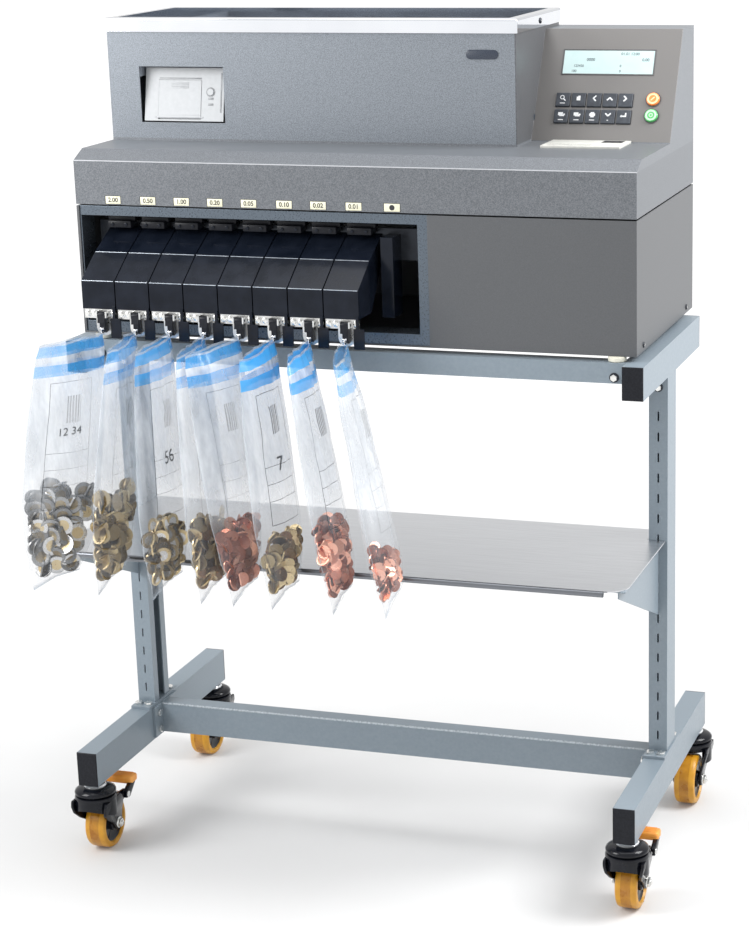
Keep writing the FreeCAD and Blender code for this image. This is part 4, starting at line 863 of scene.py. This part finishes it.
# %% Castor stems
DOME = ((0.01, 92.2), (27, 92.2), (29.2, 93.4), (29.6, 95.4), (28.6, 97.8), (25, 100.4), (19, 102.2), (12, 102.9),
        (9.5, 103), (9.5, 108.9), (0.01, 108.9))
COLLAR = ((9.4, 102.8), (15.6, 102.4), (16.2, 104.2), (14.6, 106), (9.4, 106.4))
collar_bright = make_finish("collar_bright", (0.74, 0.76, 0.79), (0.88, 0.9, 0.92), 200, 0.16, 0.03, 400,
                            metallic=0.6)
bm = bmesh.new()
for x, y in ((side * STEM_X, stem_y) for stem_y in (STEM_FRONT, STEM_REAR) for side in (-1, 1)):
    add_turned(bm, DOME, centre=(x, y, 0))
    add_turned(bm, COLLAR, centre=(x, y, 0), steps=40, index=1)
    add_rod(bm, (x, y, 79), (x, y, 122), 5.9, 20, 0.4, index=1)
    add_rod(bm, (x, y, 112), (x, y, 118.5), 9.3, 6, 0.6, index=1)
bmesh.ops.remove_doubles(bm, verts=bm.verts, dist=0.05)
finish_piece(bm, "castor_races", [castor_gloss, collar_bright], "base", ("castor_stems",))
print("castors", len([name for name in nodes if name.startswith("castor_wheel_")]))

# %% [markdown]
# The outlet row: small gates sit over the chute tops, each chute has a steel plate with three bolt
# heads, and each clip lever ends in a bright ring that a finger can pull. They are small, but the
# row repeats eight times, so without them the front looks empty.

# %% Gates, plate bolts, lever rings and outlet labels
CHUTE_FIRST = -360
CHUTE_WIDE = 48
CHUTE_HIGHLIGHT_LINES = ((-14, 865, 0.5), (-60, 834, 0.55))
PLATE_FRONT = -58
painted_edge_highlight = make_finish("painted_edge_highlight", (0.34, 0.38, 0.43), (0.48, 0.52, 0.57), 120, 0.18, 0.03, 400, metallic=0.3)
gates, bolts, highlight_rods = bmesh.new(), bmesh.new(), bmesh.new()
for number in range(OUTLETS):
    left = CHUTE_FIRST + OUTLET_PITCH * number
    middle = left + OUTLET_PITCH / 2
    add_block(gates, (middle - 17, 16, 893.6), (middle + 17, 37, 903), 1.2)
    add_block(gates, (middle - 20, 24, 902.4), (middle + 20, 37, 908.5), 1)
    for shift in (-10, 10):
        add_rod(gates, (middle + shift, 16.2, 898.4), (middle + shift, 14.6, 898.4), 2.4, 16, 0.4, index=1)
    for shift in (-17.5, -8, 19.5):
        place = Vector((middle + shift, PLATE_FRONT, 789.5))
        add_rod(bolts, place + Vector((0, 0.2, 0)), place - Vector((0, 0.8, 0)), 4.6, 24, 0.2)
        add_rod(bolts, place - Vector((0, 0.6, 0)), place - Vector((0, 3, 0)), 3.6, 20, 0.9)
    # Painted highlight: thin pale rods along the knee and nose of each chute stand in for light on its edges.
    for y, z, radius in CHUTE_HIGHLIGHT_LINES:
        add_rod(highlight_rods, (left + 1.55, y, z), (left + CHUTE_WIDE - 0.05, y, z), radius, 8)
finish_piece(gates, "coin_gates", [black_moulding, chute_gloss], "base")
finish_piece(bolts, "plate_bolts", [zinc], "base")

FINGER_RING = [(3.4 + math.cos(i * math.pi / 4), math.sin(i * math.pi / 4)) for i in range(8)]
for number in range(OUTLETS):
    lever = FIRST_LEVER + OUTLET_PITCH * number
    bm = bmesh.new()
    add_turned(bm, FINGER_RING, (1, 0, 0), (lever + 1, -68.4, 768), 28)
    add_rod(bm, (lever - 1.5, -68.2, 771), (lever + 3.5, -68.2, 771), 1.6, 16, 0.3)
    add_rod(bm, (lever - 7.2, -64, 789.5), (lever + 7.2, -64, 789.5), 2.6, 16, 0.5)
    finish_piece(bm, "lever_ring_%d" % (number + 1), [chrome], "bag_clip_%d" % (number + 1))
finish_piece(highlight_rods, "chute_edge_highlights", [painted_edge_highlight], "base")

WORD_THICK = 0.05
LABEL_PLACES = (-334.3, -283, -234, -185.6, -137.1, -86.6, -38.7, 10.9)
REJECT_X = 64
LABEL_NUMBERS = ("2.00", "0.50", "1.00", "0.20", "0.05", "0.10", "0.02", "0.01")


def add_words(name, words, size, place, material, turn):
    # Digits on the lid become a mesh first and are only then put in their place.
    bm = flat_words(words, size, size * 0.02, WORD_THICK)
    finish_piece(bm, name, [material], "lid",
                 place=Matrix.Translation(place) @ Matrix.Rotation(math.radians(turn), 4, "X"))


bm = bmesh.new()
for place in LABEL_PLACES + (REJECT_X,):
    add_block(bm, (place - 10.9, -0.25, 928.6), (place + 10.9, 0.05, 938.8), 0.1)
    add_block(bm, (place - 11.7, -0.12, 928), (place + 11.7, 0.04, 939.4), index=1)
finish_piece(bm, "outlet_labels", [label_cream, black_ink_and_shade], "lid")
for number, (place, words) in enumerate(zip(LABEL_PLACES, LABEL_NUMBERS)):
    add_words("label_digits_%d" % (number + 1), words, 8.4, (place, -0.3, 933.6), black_ink_and_shade, 90)
bm = bmesh.new()
add_rod(bm, (REJECT_X, -0.2, 933.7), (REJECT_X, -0.5, 933.7), 3.6, 28)
add_block(bm, (REJECT_X - 3.4, -0.7, 933.1), (REJECT_X + 3.4, -0.3, 934.3))
finish_piece(bm, "reject_mark", [black_ink_and_shade], "lid")
print("outlet row", OUTLETS)

# %% [markdown]
# The console face leans back, so its details are laid out flat first, as x, the way up the slope and
# the height above it, and one matrix then stands the whole layout on the face. Every key symbol
# rides on its own key, and so goes down with it when it is pressed.

# %% Key symbols
CONSOLE_TILT = 61.183
CONSOLE = Matrix.Translation((0, 189.3, 999)) @ Matrix.Rotation(math.radians(CONSOLE_TILT), 4, "X")
KEY_FIRST = 236.3
KEY_PITCH = 21.7
KEY_COLUMNS = 5
KEY_ROWS = {"top": 60, "bottom": 36.2}
KEY_INK = (2.45, 2.62)
CHEVRONS = {"key_top_3": 180, "key_top_4": 90, "key_top_5": 0, "key_bottom_4": 270}
# Each bar of a symbol: its place from the key's middle, its length, width and turn.
FORM = ((-0.8, 3, 6.6, 4.4, 0), (1, 0.6, 7, 2, 0), (4.2, 2.2, 2.4, 2.4, 45))
BARS = {
    "key_top_1": ((2.3, -0.4, 4.4, 1.5, -45),),
    "key_top_2": ((0, 1.4, 5.2, 5.4, 0), (0.9, 4.6, 3, 1.6, 0)),
    "key_bottom_1": FORM,
    "key_bottom_2": FORM,
    "key_bottom_3": ((0, 2.2, 8, 3.6, 0), (0, 4.8, 5, 2, 0), (0, -0.4, 5, 2.2, 0)),
    "key_bottom_5": ((2.6, 2.6, 1.9, 5.6, 0), (-0.6, 0.6, 6.6, 1.9, 0), (-3.2, 0.6, 2.7, 2.7, 45)),
}
UNDERLINES = {"key_top_1": 7.2, "key_bottom_1": 7.2, "key_bottom_2": 7.2, "key_bottom_3": 7.2, "key_bottom_4": 2}


def add_bar(bm, middle, long, wide, degrees, low=KEY_INK[0], high=KEY_INK[1]):
    turn = Matrix.Translation((middle[0], middle[1], 0)) @ Matrix.Rotation(math.radians(degrees), 4, "Z")
    add_block(bm, (-long / 2, -wide / 2, low), (long / 2, wide / 2, high), 0, turn)


def add_chevron(bm, middle, degrees):
    # Two bars that meet in a point; 0 degrees points to the right.
    heading = Vector((math.cos(math.radians(degrees)), math.sin(math.radians(degrees))))
    across = Vector((-heading.y, heading.x))
    for side in (-1, 1):
        place = Vector(middle) - heading * 0.6 + across * side * 1.8
        add_bar(bm, place, 5.6, 1.9, degrees - side * 45)


def add_ring(bm, middle, outer, inner, low, high, steps=32):
    profile = ((inner, low), (outer, low), (outer, high), (inner, high))
    add_turned(bm, profile, centre=(*middle, 0), steps=steps)


def draw_symbol(bm, name, x, s):
    if name in CHEVRONS:
        add_chevron(bm, (x, s + 2), CHEVRONS[name])
    if name == "key_top_1":
        add_ring(bm, (x - 1, s + 3), 3, 2.1, *KEY_INK)
    for right, up, long, wide, turn in BARS.get(name, ()):
        add_bar(bm, (x + right, s + up), long, wide, turn)
    if name in UNDERLINES:
        add_bar(bm, (x, s - 5.4), UNDERLINES[name], 1.1, 0)


for row, slope in KEY_ROWS.items():
    for column in range(KEY_COLUMNS):
        name = "key_%s_%d" % (row, column + 1)
        bm = bmesh.new()
        draw_symbol(bm, name, KEY_FIRST + KEY_PITCH * column, slope)
        finish_piece(bm, "symbol_" + name, [icon_white], name, place=CONSOLE)
print("key symbols", KEY_COLUMNS * len(KEY_ROWS))

# %% [markdown]
# The two round buttons have a grey collar in the face and a symbol on the cap. The screen has a thin
# grey gasket, and its digits lie just over the pale glass.

# %% Round buttons and screen
ROUND_X = 360.5
pale_mark = make_finish("pale_mark", (0.95, 0.62, 0.32), (0.98, 0.7, 0.42), 200, 0.35, 0.05, 600)
mint_mark = make_finish("mint_mark", (0.42, 0.8, 0.46), (0.55, 0.88, 0.58), 200, 0.35, 0.05, 600)
gasket_grey = make_finish("gasket_grey", (0.085, 0.085, 0.088), (0.11, 0.11, 0.113), 300, 0.45, 0.1, 800)
ROUND_ROWS = (("stop_button", 62, pale_mark, "stop_orange"), ("start_button", 38.5, mint_mark, "start_green"))
bm = bmesh.new()
for name, slope, mark, slot in ROUND_ROWS:
    add_ring(bm, (ROUND_X, slope), 10.6, 9.35, -0.4, 0.9, 48)
finish_piece(bm, "button_collars", [gasket_grey], "lid", place=CONSOLE)
for name, slope, mark, slot in ROUND_ROWS:
    bm = bmesh.new()
    add_ring(bm, (ROUND_X, slope), 7.6, 5, 3.9, 4.1, 40)
    if name == "stop_button":
        add_bar(bm, (ROUND_X, slope), 7, 1.7, 45, 3.9, 4.12)
    else:
        add_ring(bm, (ROUND_X, slope), 2.9, 1.5, 3.9, 4.12, 24)
    finish_piece(bm, "mark_" + name, [mark], name, place=CONSOLE)

SCREEN = (230, 356, 97.8, 132.3)
bm = bmesh.new()
x0, x1, s0, s1 = SCREEN
outer, inner = 1.4, 0.4
for low, high in (((x0 - outer, s0 - outer), (x1 + outer, s0 + inner)),
                  ((x0 - outer, s1 - inner), (x1 + outer, s1 + outer)),
                  ((x0 - outer, s0), (x0 + inner, s1)), ((x1 - inner, s0), (x1 + outer, s1))):
    add_block(bm, (*low, -0.2), (*high, 0.7), 0.2)
finish_piece(bm, "screen_gasket", [gasket_grey], "lid", place=CONSOLE)
SCREEN_LINES = (("01.01 12:00", 5.4, 322, 127), ("0000", 5.8, 268, 118.5), ("0.00", 5.8, 344, 118.5),
                ("123456", 4.8, 252, 109.5), ("0", 4.8, 310, 109.5), ("100", 4.8, 246, 102), ("0", 4.8, 310, 102))
for number, (words, size, x, s) in enumerate(SCREEN_LINES):
    add_words("screen_digits_%d" % (number + 1), words, size, CONSOLE @ Vector((x, s, 0.45)), screen_ink,
              CONSOLE_TILT)
print("round buttons", len(ROUND_ROWS), "screen lines", len(SCREEN_LINES))

# %% [markdown]
# The receipt printer stands a little back-tilted in its window: a door over the paper roll with a
# ribbed grip, a slot where the paper is torn off, a feed button and two small lamps.

# %% Receipt printer
slot_grey = make_finish("slot_grey", (0.22, 0.23, 0.24), (0.3, 0.31, 0.32), 200, 0.45, 0.08, 700)
PRINTER_TILT = 78
PRINTER = Matrix.Translation((-281.5, 125, 1026)) @ Matrix.Rotation(math.radians(PRINTER_TILT), 4, "X")
bm = bmesh.new()
for rib in range(4):
    add_block(bm, (-20, 45 + rib * 2.2, 0.4), (6, 46.1 + rib * 2.2, 1.3), 0.25)
add_block(bm, (-36.5, 8, 0.45), (23, 9, 0.8), 0.1)
finish_piece(bm, "door_grip", [printer_white], "printer_door", place=PRINTER)
bm = bmesh.new()
add_block(bm, (53.6, 12, -0.3), (55.8, 66, 0.35), 0.2)
add_block(bm, (-38, 57.6, -0.3), (25, 59.4, 0.3), 0.2)
add_ring(bm, (39, 40), 6.6, 5.35, -0.3, 0.35)
finish_piece(bm, "printer_slots", [slot_grey], "lid", place=PRINTER)
bm = bmesh.new()
for slope in (30, 22):
    add_block(bm, (35.6, slope - 0.4, -0.3), (43.4, slope + 2.6, 0.5), 0.5)
finish_piece(bm, "printer_lamps", [slot_grey], "lid", place=PRINTER)
bm = bmesh.new()
add_turned(bm, ((5, -26), (16.5, -26), (17, -25), (17, 25), (16.5, 26), (5, 26)), (1, 0, 0),
           (-6.7, 31, -23), 48)
finish_piece(bm, "paper_roll", [icon_white], "lid", place=PRINTER)
print("printer pieces made")

# %% [markdown]
# Small plates and screws: a bare pill-shaped badge on the hopper, a pale card plate on the deck with
# a dark patch, cross-head screws on the rim and casing, louvres and a plain plate on the back, a
# lighter strip along the front edge of the base crossbar, and the bolts of the stand.

# %% Badge, deck plate, screws and back panel
pill_blue = make_finish("pill_blue", (0.016, 0.024, 0.042), (0.026, 0.036, 0.058), 900, 0.3, 0.05, 700, coat=0.3)
bm = bmesh.new()
bmesh.ops.create_cone(bm, cap_ends=True, segments=40, radius1=6.2, radius2=6.2, depth=1.4)
for vert in bm.verts:
    vert.co.x += 16 if vert.co.x > 0 else -16
caps = {e for f in bm.faces if len(f.verts) > 4 for e in f.edges}
bevel(bm, caps, 0.4)
finish_piece(bm, "bare_badge", [pill_blue], "lid",
             place=Matrix.Translation((152, 123.4, 1119.5)) @ Matrix.Rotation(math.radians(90), 4, "X"))

card_grey = make_finish("card_grey", (0.5, 0.5, 0.47), (0.58, 0.58, 0.54), 160, 0.5, 0.08, 700)
bm = bmesh.new()
add_block(bm, (230, 122, 998.9), (338, 187, 1002.2), 0.5)
# A dark patch near the back corner of the plate.
add_block(bm, (303, 162, 1001.6), (331, 183, 1002.4), 0.1, index=1)
for line_y in (130, 140):
    add_block(bm, (238, line_y, 1001.8), (296, line_y + 1, 1002.3), index=1)
finish_piece(bm, "deck_card_plate", [card_grey, black_ink_and_shade], "lid")


SCREW_R = 4
SCREW = ((0.01, -0.2), (SCREW_R, -0.2), (SCREW_R, 0.6), (SCREW_R * 0.8, 1.5), (SCREW_R * 0.4, 1.9), (0.01, 2))


def add_screw(bm, place, way):
    # A dark domed head with a bright cross of two bars.
    start = len(bm.verts)
    add_turned(bm, SCREW, steps=24)
    add_block(bm, (-SCREW_R * 0.6, -0.4, 1.5), (SCREW_R * 0.6, 0.4, 2.05), index=1)
    add_block(bm, (-0.4, -SCREW_R * 0.6, 1.5), (0.4, SCREW_R * 0.6, 2.05), index=1)
    bm.verts.ensure_lookup_table()
    bmesh.ops.transform(bm, matrix=Matrix.Translation(place) @ turn_to(way), verts=bm.verts[start:])


BACK_Y = 338
LID_SCREWS = [((201, 233.8, 1155.6), (1, 0, 0)), ((-392.5, 233.8, 1155.6), (-1, 0, 0))]
LID_SCREWS += [((x, BACK_Y, 960), (0, 1, 0)) for x in (-330, 0, 330)]
BASE_SCREWS = [((side * 390, y, 759), (side, 0, 0)) for side in (-1, 1) for y in (37, 295.5)]
BASE_SCREWS += [((x, BACK_Y, z), (0, 1, 0)) for x in (-375, 0, 375) for z in (768, 908)]
for name, screws, body in (("lid_screws", LID_SCREWS, "lid"), ("casing_screws", BASE_SCREWS, "base")):
    bm = bmesh.new()
    for place, way in screws:
        add_screw(bm, place, way)
    finish_piece(bm, name, [dark_steel_and_shade, zinc], body)

bm = bmesh.new()
for group_x in (-250, -120):
    for row in range(8):
        low = 790 + row * 13
        add_block(bm, (group_x, BACK_Y - 0.2, low), (group_x + 90, BACK_Y + 2.2, low + 5), 1)
        # A black strip under each louvre is painted shade in its opening.
        add_block(bm, (group_x + 2, BACK_Y - 0.1, low - 2.6), (group_x + 88, BACK_Y + 0.3, low + 0.4), index=1)
add_block(bm, (60, BACK_Y - 0.1, 790), (140, BACK_Y + 0.6, 840), 0.2, index=2)
finish_piece(bm, "back_louvres", [panel_coat, black_ink_and_shade, plate_steel], "base")

# A lighter strip along the front edge of the base crossbar.
pale_edge_strip = make_finish("pale_edge_strip", (0.36, 0.41, 0.45), (0.48, 0.53, 0.57), 300, 0.28, 0.1, 500, metallic=0.2)
bm = bmesh.new()
add_block(bm, (-371, 129.2, 156.6), (371, 132, 159), 0.6)
finish_piece(bm, "crossbar_lip", [pale_edge_strip], "base")
BOLT_PLACES = ((362, -8, 724), (391, 119, 684))
STAND_BOLTS = [(side * x, y, z) for side in (-1, 1) for x, y, z in BOLT_PLACES]
bm = bmesh.new()
for x, y, z in STAND_BOLTS:
    add_rod(bm, (x, y + 0.2, z), (x, y - 1.2, z), 6.4, 28, 0.3, index=1)
    add_rod(bm, (x, y - 1.2, z), (x, y - 4.6, z), 4.8, 6, 0.6)
finish_piece(bm, "stand_bolts", [zinc, dark_steel_and_shade], "base")
print("screws", len(LID_SCREWS) + len(BASE_SCREWS), "stand bolts", len(STAND_BOLTS))

# %% [markdown]
# The picture is a white studio: a wide pale floor that glows towards the horizon, an even white
# surround, one large light above and one from each side. The camera stands where the picture was
# taken from.

# %% Floor, light and camera
FLOOR_HALF = 40
bm = bmesh.new()
bmesh.ops.create_grid(bm, x_segments=4, y_segments=4, size=FLOOR_HALF)
floor_mesh = bpy.data.meshes.new("studio_floor")
bm.to_mesh(floor_mesh)
bm.free()
floor_paint = make_finish("studio_floor", (0.61, 0.61, 0.61), (0.64, 0.64, 0.64), 2, 0.8, 0.02, 40)
floor_tree = floor_paint.node_tree
floor_shader = floor_tree.nodes["Principled BSDF"]
set_sockets(floor_shader, Emission_Color=(1, 1, 1, 1))
distance = floor_tree.nodes.new("ShaderNodeVectorMath")
distance.operation = "LENGTH"
floor_tree.links.new(object_axes(floor_tree)[0], distance.inputs[0])
glow = add_range(floor_tree, distance.outputs["Value"], 0.05, 0.54, 0.8, 3.2)
floor_tree.links.new(glow, floor_shader.inputs["Emission Strength"])
floor_mesh.materials.append(floor_paint)
studio_floor = bpy.data.objects.new("studio_floor", floor_mesh)
show(studio_floor)

world = bpy.data.worlds.new("studio")
bpy.context.scene.world = world
world.use_nodes = True
surround = world.node_tree.nodes["Background"]
set_sockets(surround, Color=(1, 1, 1, 1))
ray = world.node_tree.nodes.new("ShaderNodeLightPath")
bright = add_range(world.node_tree, ray.outputs["Is Camera Ray"], 0.85, 1.05, 0, 1)
world.node_tree.links.new(bright, surround.inputs["Strength"])


def add_light(name, place, target, size, power):
    lamp = bpy.data.lights.new(name, "AREA")
    lamp.shape = "RECTANGLE"
    lamp.size, lamp.size_y = size
    lamp.energy = power
    light = bpy.data.objects.new(name, lamp)
    light.location = place
    light.rotation_mode = "QUATERNION"
    light.rotation_quaternion = (Vector(target) - Vector(place)).to_track_quat("-Z", "Y")
    show(light)


add_light("top_softbox", (0.1, -0.2, 3.2), (0, 0, 0.6), (2.4, 2), 26)
add_light("left_softbox", (-1.4, -1.1, 1.6), (-0.3, 0, 1), (0.9, 1.2), 34)
add_light("right_softbox", (1.6, 0.25, 1.9), (0.39, 0.1, 1), (1, 1), 44)

CAMERA_PLACE = (1051.6, -2768.7, 1372.8)
LENS_SHIFT = (-0.1273, 0.0364)
YAW, PITCH, ROLL = 0.300355, 0.277576, -0.0190916
FOCAL_PIXELS, LONG_SIDE, SENSOR = 2268.5, 933, 36
forward = Vector((-math.sin(YAW) * math.cos(PITCH), math.cos(YAW) * math.cos(PITCH), -math.sin(PITCH)))
right = Vector((math.cos(YAW), math.sin(YAW), 0))
up = right.cross(forward)
right_rolled = math.cos(ROLL) * right + math.sin(ROLL) * up
up_rolled = -math.sin(ROLL) * right + math.cos(ROLL) * up
lens = bpy.data.cameras.new("camera")
lens.sensor_width = SENSOR
lens.lens = FOCAL_PIXELS / LONG_SIDE * SENSOR
lens.shift_x, lens.shift_y = LENS_SHIFT
lens.clip_end = 60
camera = bpy.data.objects.new("camera", lens)
pose = Matrix((right_rolled, up_rolled, -forward)).transposed().to_4x4()
camera.matrix_world = Matrix.Translation(at(*CAMERA_PLACE)) @ pose
show(camera)
bpy.context.scene.camera = camera
bpy.context.scene.view_settings.view_transform = "Standard"
print("camera at", [round(value, 3) for value in camera.matrix_world.translation])
